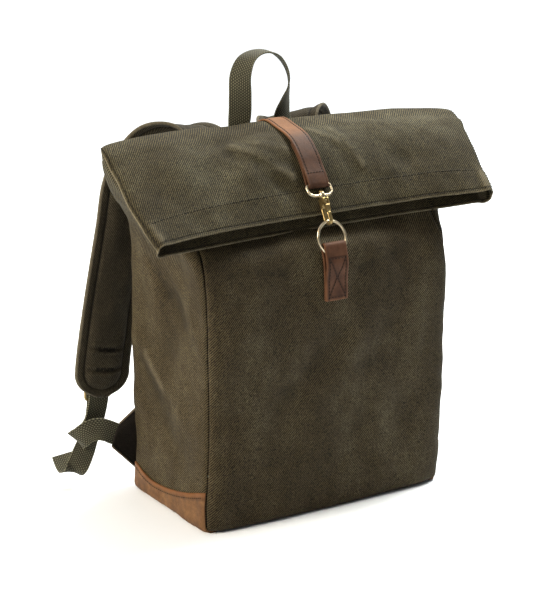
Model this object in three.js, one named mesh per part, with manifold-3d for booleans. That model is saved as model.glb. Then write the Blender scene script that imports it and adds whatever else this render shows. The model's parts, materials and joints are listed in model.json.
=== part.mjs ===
// Waxed canvas roll-top backpack, standing on its leather base with the flap folded forward and clipped.
// Millimetres, Z up, front towards -Y, +X to the viewer's right. Origin: middle of the base, on the floor.
import * as THREE from "three";
import { mergeVertices } from "three/addons/utils/BufferGeometryUtils.js";
import Module from "manifold-3d";

// Materials and clearances
const CANVAS = 2; // wall of the waxed canvas with its backing
const LEATHER = 2.2;
const WEBBING = 1.8;
const WEBBING_WIDTH = 25;
const GAP = 0.3; // clearance between neighbouring pieces
const WIRE = 1.5; // radius of the brass wire

// Bag body: one row for each section from the base to the mouth. front and back are the middles of the two
// layers as [y, z], edge is the middle of the side, half the half width, square how boxy the section is,
// arch how broadly both layers rise together between the edges, shift and tilt its sideways lean.
const section = (at, front, edge, back, half, square, arch, shift, tilt) => {
  return { at, front, edge, back, half, square, arch, lean: [shift, tilt] };
};
const SECTIONS = [
  section("under", [-60, 2.5], [0, 2.5], [62, 2.5], 129, 14, 2, 0, 0),
  section("turn", [-87, 0.4], [0, 2.6], [79, 2.6], 148, 14, 2, 0, 0),
  section("foot", [-91.5, 4.2], [0, 7], [84, 7], 153, 16, 2, 0, 0),
  section("low", [-91, 70], [0, 70], [85, 70], 154, 16, 2, 3, 0),
  section("waist", [-92, 150], [0, 150], [85, 150], 154, 16, 2, 4, 0),
  section("belly", [-92.5, 235], [0, 225], [85, 230], 155, 15, 2, 4, 0),
  section("chest", [-85, 292], [1, 280], [83, 290], 158.5, 12, 2, 3, 0),
  section("neck", [-61, 312], [3, 312], [80, 325], 168.5, 8, 2, 1.5, 0.01),
  section("shoulder", [-38, 337], [6, 340], [74, 355], 190, 5, 2, 1.5, 0.015),
  section("ear", [-13, 366], [8, 367], [62, 383], 210.5, 4, 2.2, 3, 0.01),
  section("tuck", [5, 385], [9, 388.5], [47, 401.5], 219, 3.5, 2.6, 3.5, 0),
  section("ridge", [13, 393], [8, 401], [28, 412.2], 226, 3, 2.9, 6, -0.008),
  section("over", [2, 391], [-5, 393.5], [0, 407.2], 226.5, 3, 2.9, 6, -0.006),
  section("upper", [-18, 379], [-23, 380], [-22, 398], 223, 3, 2.8, 4, 0.01),
  section("middle", [-33, 361], [-44, 362], [-40, 381.5], 221, 3, 2.6, 2, 0.02),
  section("lower", [-46, 337], [-67, 343], [-56, 354], 216.5, 3, 2.6, 0.5, 0.02),
  section("mouth", [-63, 310.5], [-91, 322], [-71, 327], 211, 4, 2.6, 0, 0.015),
];
const FOLD_TIP = 3; // half thickness of the two layers at the flap's side folds
const FRONT_SEAM = 0.332; // seam between front and wrap, on the way from front middle (0) to back middle (1)
const QUARTER_GIRTH = 226; // length of the canvas from the front middle to the side middle
const BODY_STATIONS = [0, 0.5, 1, 1.5, 2, 3, 4, 5, 5.5];
const FRONT_COLUMNS = 10;
const WRAP_COLUMNS = [
  0.332, 0.35, 0.38, 0.43, 0.475, 0.4935, 0.5, 0.5065, 0.525, 0.57, 0.62, 0.65, 0.667, 0.69, 0.73, 0.81, 0.9,
];

// Main dents and folds of the cloth: a line on the surface from one point to another, how far it reaches to
// each side, and how far it stands out (in, if negative). outer marks those of the flap's outer layer.
const FOLDS = [
  { from: [-156, -30, 305], to: [-151, -5, 190], reach: 26, height: -5, outer: false },
  { from: [-151, 66, 175], to: [-151, -20, 118], reach: 20, height: 3.5, outer: false },
  { from: [-151, 40, 120], to: [-151, -40, 70], reach: 24, height: -3, outer: false },
  { from: [158, 30, 300], to: [153, 10, 170], reach: 30, height: -5, outer: false },
  { from: [-60, -91, 260], to: [-75, -90, 130], reach: 30, height: -3, outer: false },
  { from: [70, -91, 200], to: [95, -88, 90], reach: 30, height: -3, outer: false },
  { from: [55, 10, 412], to: [120, -50, 371], reach: 20, height: -3.5, outer: true },
  { from: [-60, 15, 412], to: [-110, -40, 378], reach: 22, height: -3, outer: true },
];

// Leather base
const BASE_HALF_WIDTH = 131;
const BASE_HALF_DEPTH = 61;
const PATCH_BACK = 0.66; // where the turned-up patch ends at the back corner
const PATCH_FRONT_TOP = 43;
const PATCH_BACK_DROP = 10; // how much lower its top edge ends at the back
const PATCH_DIP = 13; // how far its top edge dips between front and back
const PATCH_DIP_AT = 0.65; // where along the side it is lowest

// Closing strap, loop, hook, ring and tab on the middle line
const STRAP_WIDTH = 26;
const STRAP_START = 7.4; // section number on the back where the strap is sewn on
const STRAP_END = 15.0; // section number on the flap where it folds round the loop
const STRAP_RETURN = 13.2;
const LOOP_HALF_WIDTH = 14.9;
const LOOP_DROP = 12.5; // loop bar to swivel hub
const HOOK_SLOPE = 28; // degrees that the hook leans from the plumb line
const HOOK_WALL = 2.6;
const HOOK_GAP = 3.2; // half the inside width of the hook
const HOOK_BEND = 27.2; // hub to the centre of the bend
const HOOK_THICK = 4.6;
const HEAD_THICK = 6.8;
const GATE_PIVOT = [3, 7.2]; // outwards and down from the hub
const GATE_THICK = 2.6;
const GATE_END = 20.8;
const RING_RADIUS = 17.1;
const RING_WIRE = 1.6;
const TAB_WIDTH = 28;
const TAB_TOP = 285.7; // height of the ring inside the tab's fold
const TAB_POCKET = 10; // room above it for the curve of the ring
const TAB_BOTTOM = 239;
const TAB_X = 1.5; // the tab sits a little to the right of the middle

// Grab handle: section numbers where its ends are sewn to the back panel, and the free loop between them from
// left to right as [x, z] with the turn of the webbing in degrees
const HANDLE_SEWN = [8.5, 8.8, 9.1, 9.4, 9.7];
const HANDLE_X = 29;
const HANDLE_Y = 54;
const HANDLE_LOOP = [
  { at: [-25.6, 416], turn: 28 },
  { at: [-25, 438], turn: 40 },
  { at: [-24.5, 459], turn: 52 },
  { at: [-18, 474.5], turn: 68 },
  { at: [-8.5, 481.5], turn: 80 },
  { at: [5, 483.6], turn: 92 },
  { at: [20, 479], turn: 102 },
  { at: [30.5, 469], turn: 110 },
  { at: [37, 455.5], turn: 117 },
  { at: [37.8, 442], turn: 126 },
  { at: [33.5, 427], turn: 146 },
  { at: [29.5, 412], turn: 166 },
];

// Padded shoulder strap, left one: section numbers where its end is sewn to the back panel, its distance from
// the middle there, then its middle line and the direction its inner face looks
const PAD_SEWN = [7.35, 7.7, 8.05];
const PAD_X = -50;
const PAD_WIDTH = 69;
const PAD_THICK = 12;
const PAD_ROUTE = [
  { at: [-52, 80.5, 376], face: [0, 1, -0.1] },
  { at: [-57.5, 90, 389.5], face: [-0.05, 0.5, -0.85] },
  { at: [-75, 103, 397], face: [-0.1, -0.3, -1] },
  { at: [-98, 115, 385], face: [-0.05, -0.85, -0.55] },
  { at: [-114, 122, 361], face: [0, -1, -0.15] },
  { at: [-124.5, 126, 337], face: [0, -1, 0] },
  { at: [-134.5, 125, 290], face: [0, -1, 0] },
  { at: [-147, 123, 236], face: [0, -1, 0] },
  { at: [-159.5, 120, 181], face: [0, -1, 0] },
  { at: [-168, 117, 140], face: [0, -1, 0] },
  { at: [-173, 114, 103], face: [0, -1, 0] },
];
// Across the pad: place from edge to edge, and share of the full thickness (bound border, then the filling)
const PAD_PROFILE = [
  { across: -1, share: 0.3 },
  { across: -0.78, share: 0.42 },
  { across: -0.5, share: 0.9 },
  { across: 0, share: 1 },
  { across: 0.5, share: 0.9 },
  { across: 0.78, share: 0.42 },
  { across: 1, share: 0.3 },
];

// Slide at the pad's lower end, anchor and lower webbing, left side
const SLIDE_AT = [-171.6, 124.8, 107];
const SLIDE_HALF_WIDTH = 15.5;
const SLIDE_BARS = 9.5; // distance between its three bars
const ANCHOR_BASE = { bottom: 12, top: 94, girth: 0.709 };
const ANCHOR_END = [-165.5, 94, 61.5];
const ANCHOR_THICK = 3;
const LOWER_ROUTE = [
  { at: [-148, 96, 54.5], face: [0, -1, 0.15] },
  { at: [-158, 97, 58.2], face: [0, -1, 0.2] },
  { at: [-167, 98.2, 62.4], face: [0, -1, 0.2] },
  { at: [-177, 99.5, 67.6], face: [0, -1, 0.3] },
  { at: [-187, 101.5, 69.5], face: [-0.1, -1, 0.3] },
  { at: [-196, 104, 67], face: [-0.3, -1, 0.2] },
  { at: [-203, 108.5, 60.5], face: [-0.6, -0.8, 0] },
  { at: [-204.5, 115, 56.5], face: [-0.7, 0, -0.7] },
  { at: [-196.5, 122, 55], face: [-0.2, 1, -0.4] },
  { at: [-184.5, 126.5, 60], face: [0, 1, 0] },
  { at: [-175, 128.5, 71], face: [0, 1, 0] },
  { at: [-172, 128.2, 86], face: [0, 1, 0] },
];
const TAIL_ROUTE = [
  { at: [-172.6, 121.6, 95], face: [0, -1, 0] },
  { at: [-179.6, 118.8, 74], face: [0, -1, 0] },
  { at: [-189.2, 117, 53], face: [-0.08, -1, 0] },
  { at: [-198, 114.8, 37], face: [-0.4, -0.92, 0] },
  { at: [-206, 112.8, 25.5], face: [-0.52, -0.85, -0.1] },
  { at: [-211, 115.5, 20], face: [-0.3, -0.45, -0.85] },
  { at: [-212, 121.5, 20.7], face: [0.1, 0.15, -1] },
  { at: [-211.5, 131, 26.3], face: [0.31, 0.49, -0.73] },
  { at: [-210.5, 139, 32.5], face: [0.31, 0.49, -0.73] },
];

const wasm = await Module();
wasm.setup();

const V = (x, y, z) => new THREE.Vector3(x, y, z);
const mirrored = (p) => V(-p.x, p.y, p.z);

// A curve through one column of a table, that passes row i at t = i.
function columnCurve(rows, column) {
  const curve = new THREE.CatmullRomCurve3(rows.map(column), false, "centripetal");
  return (t) => curve.getPoint(Math.min(1, Math.max(0, t / (rows.length - 1))));
}
const LAST = SECTIONS.length - 1;
const frontLine = columnCurve(SECTIONS, (s) => V(0, ...s.front));
const edgeLine = columnCurve(SECTIONS, (s) => V(0, ...s.edge));
const backLine = columnCurve(SECTIONS, (s) => V(0, ...s.back));
const formLine = columnCurve(SECTIONS, (s) => V(s.half, s.square, s.arch));
const leanLine = columnCurve(SECTIONS, (s) => V(...s.lean, 0));

// Places from the middle (0) to the side fold (1), close together where the section turns the fold
const BREADTHS = [];
for (let i = 0; i < 47; i++) BREADTHS.push(i * 0.02);
for (let i = 0; i <= 12; i++) BREADTHS.push(1 - 0.06 * Math.pow(1 - i / 12, 4));
const rounded = (breadth, power) => Math.pow(1 - Math.pow(breadth, power), 1 / power);

// Distance along a line of points, up to each of them
function runningLengths(points) {
  const lengths = [0];
  for (let i = 1; i < points.length; i++) {
    lengths.push(lengths[i - 1] + points[i].distanceTo(points[i - 1]));
  }
  return lengths;
}

// Half of one section as two polylines, front middle to side fold and side fold to back middle.
const sectionCache = new Map();
function halfSection(t) {
  if (sectionCache.has(t)) return sectionCache.get(t);
  const front = frontLine(t);
  const back = backLine(t);
  const edge = edgeLine(t);
  const { x: half, y: square, z: arch } = formLine(t);
  const middle = front.clone().add(back).multiplyScalar(0.5);
  const apart = back.clone().sub(front).multiplyScalar(0.5);
  const tip = Math.min(1, FOLD_TIP / apart.length());
  const layer = (side) =>
    BREADTHS.map((breadth) => {
      const rise = 1 - Math.pow(breadth, arch);
      const spread = tip * rounded(breadth, 10) + (1 - tip) * rounded(breadth, square);
      return edge
        .clone()
        .addScaledVector(middle.clone().sub(edge), rise)
        .addScaledVector(apart, side * spread)
        .setX(half * breadth);
    });
  const made = [layer(-1), layer(1).reverse()].map((points) => {
    return { points, lengths: runningLengths(points) };
  });
  sectionCache.set(t, made);
  return made;
}

function along(line, share) {
  const wanted = share * line.lengths.at(-1);
  let i = 1;
  while (i < line.lengths.length - 1 && line.lengths[i] < wanted) i++;
  const step = line.lengths[i] - line.lengths[i - 1] || 1;
  return line.points[i - 1].clone().lerp(line.points[i], (wanted - line.lengths[i - 1]) / step);
}

// Lowest height of the canvas: near the floor along the front, above the leather everywhere else
const lowest = (right) => GAP + LEATHER * THREE.MathUtils.smoothstep(right, FRONT_SEAM - 0.05, FRONT_SEAM);

// Smooth outside of the canvas. girth runs 0 at the front middle, 0.5 at the right side fold, 1 at the back
// middle, 1.5 at the left side fold.
function smoothBag(t, girth) {
  const station = Math.min(LAST, Math.max(0, t));
  const turn = ((girth % 2) + 2) % 2;
  const right = turn <= 1 ? turn : 2 - turn;
  const [frontHalf, backHalf] = halfSection(station);
  const p = right <= 0.5 ? along(frontHalf, right * 2) : along(backHalf, right * 2 - 1);
  const { x: shift, y: tilt } = leanLine(station);
  if (turn > 1) p.x = -p.x;
  p.z = Math.max(p.z + tilt * p.x, lowest(right));
  p.x += shift;
  return p;
}

function smoothNormal(t, girth) {
  const across = smoothBag(t, girth + 0.004).sub(smoothBag(t, girth - 0.004));
  const up = smoothBag(t + 0.02, girth).sub(smoothBag(t - 0.02, girth));
  return across.cross(up).normalize();
}

// The same with the dents and folds
const RIDGE = SECTIONS.findIndex((s) => s.at === "ridge");
const foldLines = FOLDS.map((f) => ({ ...f, line: new THREE.Line3(V(...f.from), V(...f.to)) }));
function onBag(t, girth) {
  const p = smoothBag(t, girth);
  const turn = ((girth % 2) + 2) % 2;
  const outerLayer = t > RIDGE - 1 && turn > 0.5 && turn < 1.5;
  const innerLayer = t > RIDGE - 1 && !outerLayer;
  let height = 0;
  for (const { line, reach, height: most, outer } of foldLines) {
    if (innerLayer || outer !== outerLayer) continue;
    const away = line.closestPointToPoint(p, true, V(0, 0, 0)).distanceTo(p);
    height += most * Math.exp(-((away / reach) ** 2));
  }
  return Math.abs(height) > 0.01 ? p.addScaledVector(smoothNormal(t, girth), height) : p;
}

function outward(t, girth) {
  const across = onBag(t, girth + 0.004).sub(onBag(t, girth - 0.004));
  const up = onBag(t + 0.02, girth).sub(onBag(t - 0.02, girth));
  return across.cross(up).normalize();
}

const offBag = (t, girth, distance) => onBag(t, girth).addScaledVector(outward(t, girth), distance);

// Closed solid between two grids of points of the same size. Seen from outside, the columns of the outer grid
// run to the right and its rows upwards.
function slab(outer, inner) {
  const rows = outer.length;
  const columns = outer[0].length;
  const points = [...outer.flat(), ...inner.flat()];
  const top = (i, j) => i * columns + j;
  const bottom = (i, j) => rows * columns + top(i, j);
  const faces = [];
  const quad = (a, b, c, d) => faces.push(a, b, c, a, c, d);
  for (let i = 0; i < rows - 1; i++)
    for (let j = 0; j < columns - 1; j++) {
      quad(top(i, j), top(i, j + 1), top(i + 1, j + 1), top(i + 1, j));
      quad(bottom(i, j), bottom(i + 1, j), bottom(i + 1, j + 1), bottom(i, j + 1));
    }
  const rim = [];
  for (let j = 0; j < columns; j++) rim.push([0, j]);
  for (let i = 1; i < rows; i++) rim.push([i, columns - 1]);
  for (let j = columns - 2; j >= 0; j--) rim.push([rows - 1, j]);
  for (let i = rows - 2; i > 0; i--) rim.push([i, 0]);
  rim.forEach((a, k) => {
    const b = rim[(k + 1) % rim.length];
    quad(top(...b), top(...a), bottom(...a), bottom(...b));
  });
  const geometry = new THREE.BufferGeometry().setFromPoints(points);
  geometry.setIndex(faces);
  return geometry;
}

// A piece of the bag's surface: outer and inner face at two distances from the outside of the canvas.
function patch(stations, girths, outerDistance, innerDistance) {
  const face = (distance) => stations.map((row) => girths.map((g, j) => offBag(row(j), g, distance)));
  return slab(face(outerDistance), face(innerDistance));
}

// Flat band along a route: rows hold the middle line and the direction across it.
function band(route, width, thickness) {
  const tangents = route.map((r, i) => {
    const next = route[Math.min(i + 1, route.length - 1)].at;
    return next.clone().sub(route[Math.max(i - 1, 0)].at).normalize();
  });
  const side = (sign) =>
    route.map((r, i) => {
      const normal = tangents[i].clone().cross(r.across).normalize();
      return [-0.5, 0.5].map((k) =>
        r.at
          .clone()
          .addScaledVector(r.across, k * width)
          .addScaledVector(normal, (-sign * thickness) / 2),
      );
    });
  return slab(side(1), side(-1));
}

// Route rows { at, face } as smooth samples with the direction across worked out from the face direction.
function smoothRoute(rows, count) {
  const at = new THREE.CatmullRomCurve3(rows.map((r) => V(...r.at)), false, "centripetal");
  const face = columnCurve(rows, (r) => V(...r.face));
  const samples = [];
  for (let i = 0; i <= count; i++) {
    const t = i / count;
    const tangent = at.getTangent(t);
    const across = face(t * (rows.length - 1)).cross(tangent).normalize();
    samples.push({ at: at.getPoint(t), across, tangent });
  }
  return samples;
}
const mirrorRoute = (rows) =>
  rows.map(({ at, across, tangent }) => {
    return { at: mirrored(at), across: mirrored(across).negate(), tangent: mirrored(tangent) };
  });

// Closed loop of round wire through the given points, its section turned about a fixed side direction.
function wire(points, radius, side, sides = 8) {
  const count = points.length;
  const rings = points.map((p, i) => {
    const before = points[(i + count - 1) % count];
    const after = points[(i + 1) % count];
    const tangent = after.clone().sub(before).normalize();
    const a = side.clone().addScaledVector(tangent, -side.dot(tangent)).normalize();
    const b = tangent.clone().cross(a);
    return Array.from({ length: sides }, (_, k) => {
      const angle = (2 * Math.PI * k) / sides;
      return p
        .clone()
        .addScaledVector(a, radius * Math.cos(angle))
        .addScaledVector(b, radius * Math.sin(angle));
    });
  });
  const faces = [];
  for (let i = 0; i < count; i++)
    for (let k = 0; k < sides; k++) {
      const m = (i + 1) % count;
      const n = (k + 1) % sides;
      faces.push(i * sides + k, i * sides + n, m * sides + n);
      faces.push(i * sides + k, m * sides + n, m * sides + k);
    }
  const geometry = new THREE.BufferGeometry().setFromPoints(rings.flat());
  geometry.setIndex(faces);
  return geometry;
}

// Joins and cuts
function solid(geometry) {
  const bare = new THREE.BufferGeometry().setAttribute("position", geometry.getAttribute("position"));
  bare.setIndex(geometry.index);
  const merged = mergeVertices(bare, 1e-4);
  return new wasm.Manifold(
    new wasm.Mesh({
      numProp: 3,
      vertProperties: new Float32Array(merged.getAttribute("position").array),
      triVerts: new Uint32Array(merged.index.array),
    }),
  );
}

function geometryOf(made) {
  const mesh = made.getMesh();
  const geometry = new THREE.BufferGeometry();
  geometry.setAttribute("position", new THREE.BufferAttribute(new Float32Array(mesh.vertProperties), 3));
  geometry.setIndex(new THREE.BufferAttribute(new Uint32Array(mesh.triVerts), 1));
  return geometry;
}

const bag = new THREE.Group();
bag.name = "backpack";
const COLOURS = { canvas: 0x4a4433, leather: 0x6b3f24, webbing: 0x55573f, brass: 0x9a7a45 };
function add(name, kind, geometry) {
  const metal = kind === "brass" ? 1 : 0;
  const material = new THREE.MeshStandardMaterial({ color: COLOURS[kind], metalness: metal, roughness: 0.6 });
  const mesh = new THREE.Mesh(geometry, material);
  mesh.name = name;
  bag.add(mesh);
}

// Canvas body
const seamClear = (0.5 * GAP) / QUARTER_GIRTH;
const stations = BODY_STATIONS.map((t) => () => t);
for (let t = BODY_STATIONS.at(-1) + 0.5; t <= LAST; t += 0.5) stations.push(() => t);
const frontGirths = [];
for (let j = 0; j <= FRONT_COLUMNS; j++)
  frontGirths.push((FRONT_SEAM - seamClear) * ((2 * j) / FRONT_COLUMNS - 1));
add("front_panel", "canvas", patch(stations, frontGirths, 0, -CANVAS));
const rightGirths = WRAP_COLUMNS.map((g, i) => (i === 0 ? g + seamClear : g));
const wrapGirths = [...rightGirths, 1, ...rightGirths.map((g) => 2 - g).reverse()];
add("wrap_panel", "canvas", patch(stations, wrapGirths, 0, -CANVAS));

// Leather base: a plate under the canvas with a turned-up patch on each side
const plateShape = new THREE.Shape();
plateShape.moveTo(-BASE_HALF_WIDTH, -BASE_HALF_DEPTH);
plateShape.lineTo(BASE_HALF_WIDTH, -BASE_HALF_DEPTH);
plateShape.lineTo(BASE_HALF_WIDTH, BASE_HALF_DEPTH);
plateShape.lineTo(-BASE_HALF_WIDTH, BASE_HALF_DEPTH);
const plate = solid(new THREE.ExtrudeGeometry(plateShape, { depth: LEATHER, bevelEnabled: false }));
const patchGirths = WRAP_COLUMNS.filter((g) => g < PATCH_BACK).map((g, i) => (i === 0 ? g + 0.002 : g));
function patchTop(girth) {
  const share = (girth - FRONT_SEAM) / (PATCH_BACK - FRONT_SEAM);
  const bow = share < PATCH_DIP_AT ? share / PATCH_DIP_AT : (1 - share) / (1 - PATCH_DIP_AT);
  const height = PATCH_FRONT_TOP - PATCH_DIP * Math.sin((bow * Math.PI) / 2) - PATCH_BACK_DROP * share;
  return 2 + (height - SECTIONS[2].edge[1]) / (SECTIONS[3].edge[1] - SECTIONS[2].edge[1]);
}
const patchRows = [0, 0.5, 1, 1.5, 2].map((t) => () => t);
for (const share of [0.5, 1]) patchRows.push((girth) => 2 + (patchTop(girth) - 2) * share);
const patchStations = patchRows.map((row) => (j) => row(patchGirths[j]));
const rightPatch = patch(patchStations, patchGirths, GAP + LEATHER, GAP);
const leftGirths = patchGirths.map((g) => 2 - g).reverse();
const leftStations = patchRows.map((row) => (j) => row(2 - leftGirths[j]));
const leftPatch = patch(leftStations, leftGirths, GAP + LEATHER, GAP);
add("base_leather", "leather", geometryOf(plate.add(solid(rightPatch)).add(solid(leftPatch))));

// Closing strap: runs over the ridge, folds round the loop's bar and comes back under itself
const ALONG_X = V(1, 0, 0);
const EYE = WIRE + GAP + LEATHER / 2; // radius of the leather's middle line round the bar
const firstLayer = GAP + LEATHER / 2; // middle of a leather layer on the canvas
const secondLayer = firstLayer + LEATHER + GAP;
const blend = (a, b, x) => THREE.MathUtils.smoothstep(x, a, b);
const strapEnd = onBag(STRAP_END, 1);
const strapOut = outward(STRAP_END, 1);
const strapDown = strapOut.clone().cross(ALONG_X).negate();
const barCentre = strapEnd.clone().addScaledVector(strapOut, firstLayer + EYE);
const overStrap = (t, distance) => offBag(t, 1, distance).setX(strapEnd.x);
const strapPoints = [];
for (let t = STRAP_START; t < STRAP_END - 0.3; t += 0.25) {
  const lift = firstLayer + (secondLayer - firstLayer) * blend(STRAP_RETURN - 0.3, STRAP_RETURN, t);
  const swell = (2 * EYE - (secondLayer - firstLayer)) * blend(STRAP_END - 0.8, STRAP_END - 0.1, t);
  strapPoints.push(overStrap(t, lift + swell));
}
for (let k = 0; k <= 8; k++) {
  const angle = (Math.PI * k) / 8;
  strapPoints.push(
    barCentre
      .clone()
      .addScaledVector(strapOut, EYE * Math.cos(angle))
      .addScaledVector(strapDown, EYE * Math.sin(angle)),
  );
}
for (let t = STRAP_END - 0.25; t > STRAP_RETURN; t -= 0.25) strapPoints.push(overStrap(t, firstLayer));
const strapRoute = strapPoints.map((at) => ({ at, across: ALONG_X.clone().negate() }));
add("closing_strap", "leather", band(strapRoute, STRAP_WIDTH, LEATHER));

// Frame of the loop and hook: x along X, y outwards from the flap, z down along the hook
const hub = barCentre.clone().addScaledVector(strapDown, LOOP_DROP).addScaledVector(strapOut, 2.6);
const slope = THREE.MathUtils.degToRad(HOOK_SLOPE);
const hookDown = V(0, -Math.sin(slope), -Math.cos(slope));
const hookOut = V(0, -Math.cos(slope), Math.sin(slope));
const hookFrame = new THREE.Matrix4().makeBasis(ALONG_X, hookOut, hookDown).setPosition(hub);
const profileFrame = new THREE.Matrix4().makeBasis(hookOut, hookDown, ALONG_X).setPosition(hub);
const inHook = (x, out, down) => V(x, out, down).applyMatrix4(hookFrame);
const barInHook = barCentre.clone().applyMatrix4(hookFrame.clone().invert());

// A round pin along the hook's length
function post(radius, from, to, sides = 16) {
  const geometry = new THREE.CylinderGeometry(radius, radius, to - from, sides);
  geometry.rotateX(Math.PI / 2).translate(0, 0, (from + to) / 2);
  return solid(geometry.applyMatrix4(hookFrame));
}
// A flat profile in the hook's plane, drawn as [outwards, down], centred on the hook's thickness
function plateProfile(shape, thick) {
  const geometry = new THREE.ExtrudeGeometry(shape, { depth: thick, bevelEnabled: false, curveSegments: 8 });
  return solid(geometry.translate(0, 0, -thick / 2).applyMatrix4(profileFrame));
}

// Loop: a bar through the strap's fold, bent round to the swivel hub
const loopRise = barInHook.z;
const loopPoints = [
  [-LOOP_HALF_WIDTH + 3, 0],
  [LOOP_HALF_WIDTH - 3, 0],
  [LOOP_HALF_WIDTH, 0.22],
  [LOOP_HALF_WIDTH, 0.5],
  [LOOP_HALF_WIDTH - 3.5, 0.9],
  [5, 1],
  [-5, 1],
  [-LOOP_HALF_WIDTH + 3.5, 0.9],
  [-LOOP_HALF_WIDTH, 0.5],
  [-LOOP_HALF_WIDTH, 0.22],
].map(([x, share]) => inHook(x, barInHook.y * (1 - share), loopRise * (1 - share)));
const loopCurve = new THREE.CatmullRomCurve3(loopPoints, true, "catmullrom", 0.35);
const loopWire = solid(wire(loopCurve.getSpacedPoints(32).slice(0, -1), WIRE, hookOut));
add("strap_loop", "brass", geometryOf(loopWire.add(post(3.4, -3, 2.8)).subtract(post(1.8, -4, 4))));

// Hook body: spine, bend and tip, with a slotted head for the gate and a post through the hub
const outerHook = HOOK_GAP + HOOK_WALL;
const hookShape = new THREE.Shape();
hookShape.moveTo(-outerHook, 3.2);
hookShape.lineTo(outerHook - 1, 3.2);
hookShape.lineTo(outerHook, 4.4);
hookShape.lineTo(outerHook, 9.6);
hookShape.lineTo(outerHook - 1, 10.6);
hookShape.lineTo(-1, 10.6);
hookShape.lineTo(-HOOK_GAP, 12.6);
hookShape.lineTo(-HOOK_GAP, HOOK_BEND);
hookShape.absarc(0, HOOK_BEND, HOOK_GAP, Math.PI, 0, true);
hookShape.lineTo(HOOK_GAP, 19.8);
hookShape.lineTo(outerHook - 0.8, 19);
hookShape.lineTo(outerHook, 20);
hookShape.lineTo(outerHook, HOOK_BEND);
hookShape.absarc(0, HOOK_BEND, outerHook, 0, Math.PI, false);
const headShape = new THREE.Shape();
headShape.moveTo(-outerHook, 3.2);
headShape.lineTo(outerHook - 1, 3.2);
headShape.lineTo(outerHook, 4.4);
headShape.lineTo(outerHook, 9.6);
headShape.lineTo(outerHook - 1, 10.6);
headShape.lineTo(-outerHook, 10.6);
const slotShape = new THREE.Shape();
slotShape.moveTo(-0.5, 4.4);
slotShape.lineTo(outerHook + 1, 4.4);
slotShape.lineTo(outerHook + 1, 12);
slotShape.lineTo(-0.5, 12);
const pinShape = new THREE.Shape();
pinShape.absarc(...GATE_PIVOT, 0.9, 0, 2 * Math.PI);
const hookBody = plateProfile(hookShape, HOOK_THICK)
  .add(plateProfile(headShape, HEAD_THICK))
  .subtract(plateProfile(slotShape, GATE_THICK + 2 * GAP))
  .add(plateProfile(pinShape, HEAD_THICK - 0.6))
  .add(post(1.5, -4, 4))
  .add(post(2.6, -4.6, -3.3));
add("snap_hook", "brass", geometryOf(hookBody));

// Gate: a lever on the pin, closing against the inside of the hook's tip
const gateFace = HOOK_GAP - GAP;
const gateShape = new THREE.Shape();
gateShape.absarc(...GATE_PIVOT, 2.2, 0.15 * Math.PI, 0.95 * Math.PI, true);
gateShape.lineTo(gateFace - 2.2, GATE_END);
gateShape.lineTo(gateFace, GATE_END);
gateShape.lineTo(gateFace, 17.6);
gateShape.lineTo(gateFace + 2, 16.8);
gateShape.lineTo(gateFace + 2.6, 12.6);
const boreShape = new THREE.Path();
boreShape.absarc(...GATE_PIVOT, 1.2, 0, 2 * Math.PI);
gateShape.holes.push(boreShape);
add("hook_gate", "brass", geometryOf(plateProfile(gateShape, GATE_THICK)));

// Ring: its top lies in the hook's bend, its bottom in the tab's fold
let tabTop = 5;
while (onBag(tabTop, 0).z < TAB_TOP) tabTop += 0.01;
let tabBottom = 4;
while (onBag(tabBottom, 0).z < TAB_BOTTOM) tabBottom += 0.01;
const ringTop = inHook(0, 0, HOOK_BEND + HOOK_GAP - RING_WIRE - GAP);
const tabEye = RING_WIRE + GAP + LEATHER / 2;
const onTab = (t, distance) => offBag(t, 0, distance).setX(TAB_X);
const ringBottom = onTab(tabTop, firstLayer + tabEye);
const ringMiddle = ringTop.clone().add(ringBottom).multiplyScalar(0.5);
const ringHeight = ringTop.distanceTo(ringBottom) / 2;
const ringUp = ringTop.clone().sub(ringBottom).normalize();
const ringPoints = [];
for (let k = 0; k < 28; k++) {
  const angle = (2 * Math.PI * k) / 28;
  ringPoints.push(
    ringMiddle
      .clone()
      .addScaledVector(ALONG_X, RING_RADIUS * Math.sin(angle))
      .addScaledVector(ringUp, ringHeight * Math.cos(angle)),
  );
}
add("catch_ring", "brass", wire(ringPoints, RING_WIRE, ALONG_X.clone().cross(ringUp)));

// Ring tab: folded leather, front layer up over the ring and back layer down to the canvas
const pocketUp = ringUp.clone().setX(0).normalize();
const pocketOut = ALONG_X.clone().cross(pocketUp);
const pocketTop = ringBottom.clone().addScaledVector(pocketUp, TAB_POCKET);
const tabPoints = [];
const tabSteps = 8;
for (let i = 0; i <= tabSteps; i++) {
  const t = tabBottom + ((tabTop - 0.06 - tabBottom) * i) / tabSteps;
  const swell = (2 * tabEye - (secondLayer - firstLayer)) * blend(0.4, 0.88, i / tabSteps);
  tabPoints.push(onTab(t, secondLayer + swell));
}
for (let k = 0; k <= 8; k++) {
  const angle = (Math.PI * k) / 8;
  tabPoints.push(
    pocketTop
      .clone()
      .addScaledVector(pocketOut, tabEye * Math.cos(angle))
      .addScaledVector(pocketUp, tabEye * Math.sin(angle)),
  );
}
for (let i = tabSteps; i >= 0; i--)
  tabPoints.push(onTab(tabBottom + ((tabTop - 0.06 - tabBottom) * i) / tabSteps, firstLayer));
add("ring_tab", "leather", band(tabPoints.map((at) => ({ at, across: ALONG_X })), TAB_WIDTH, LEATHER));

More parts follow.
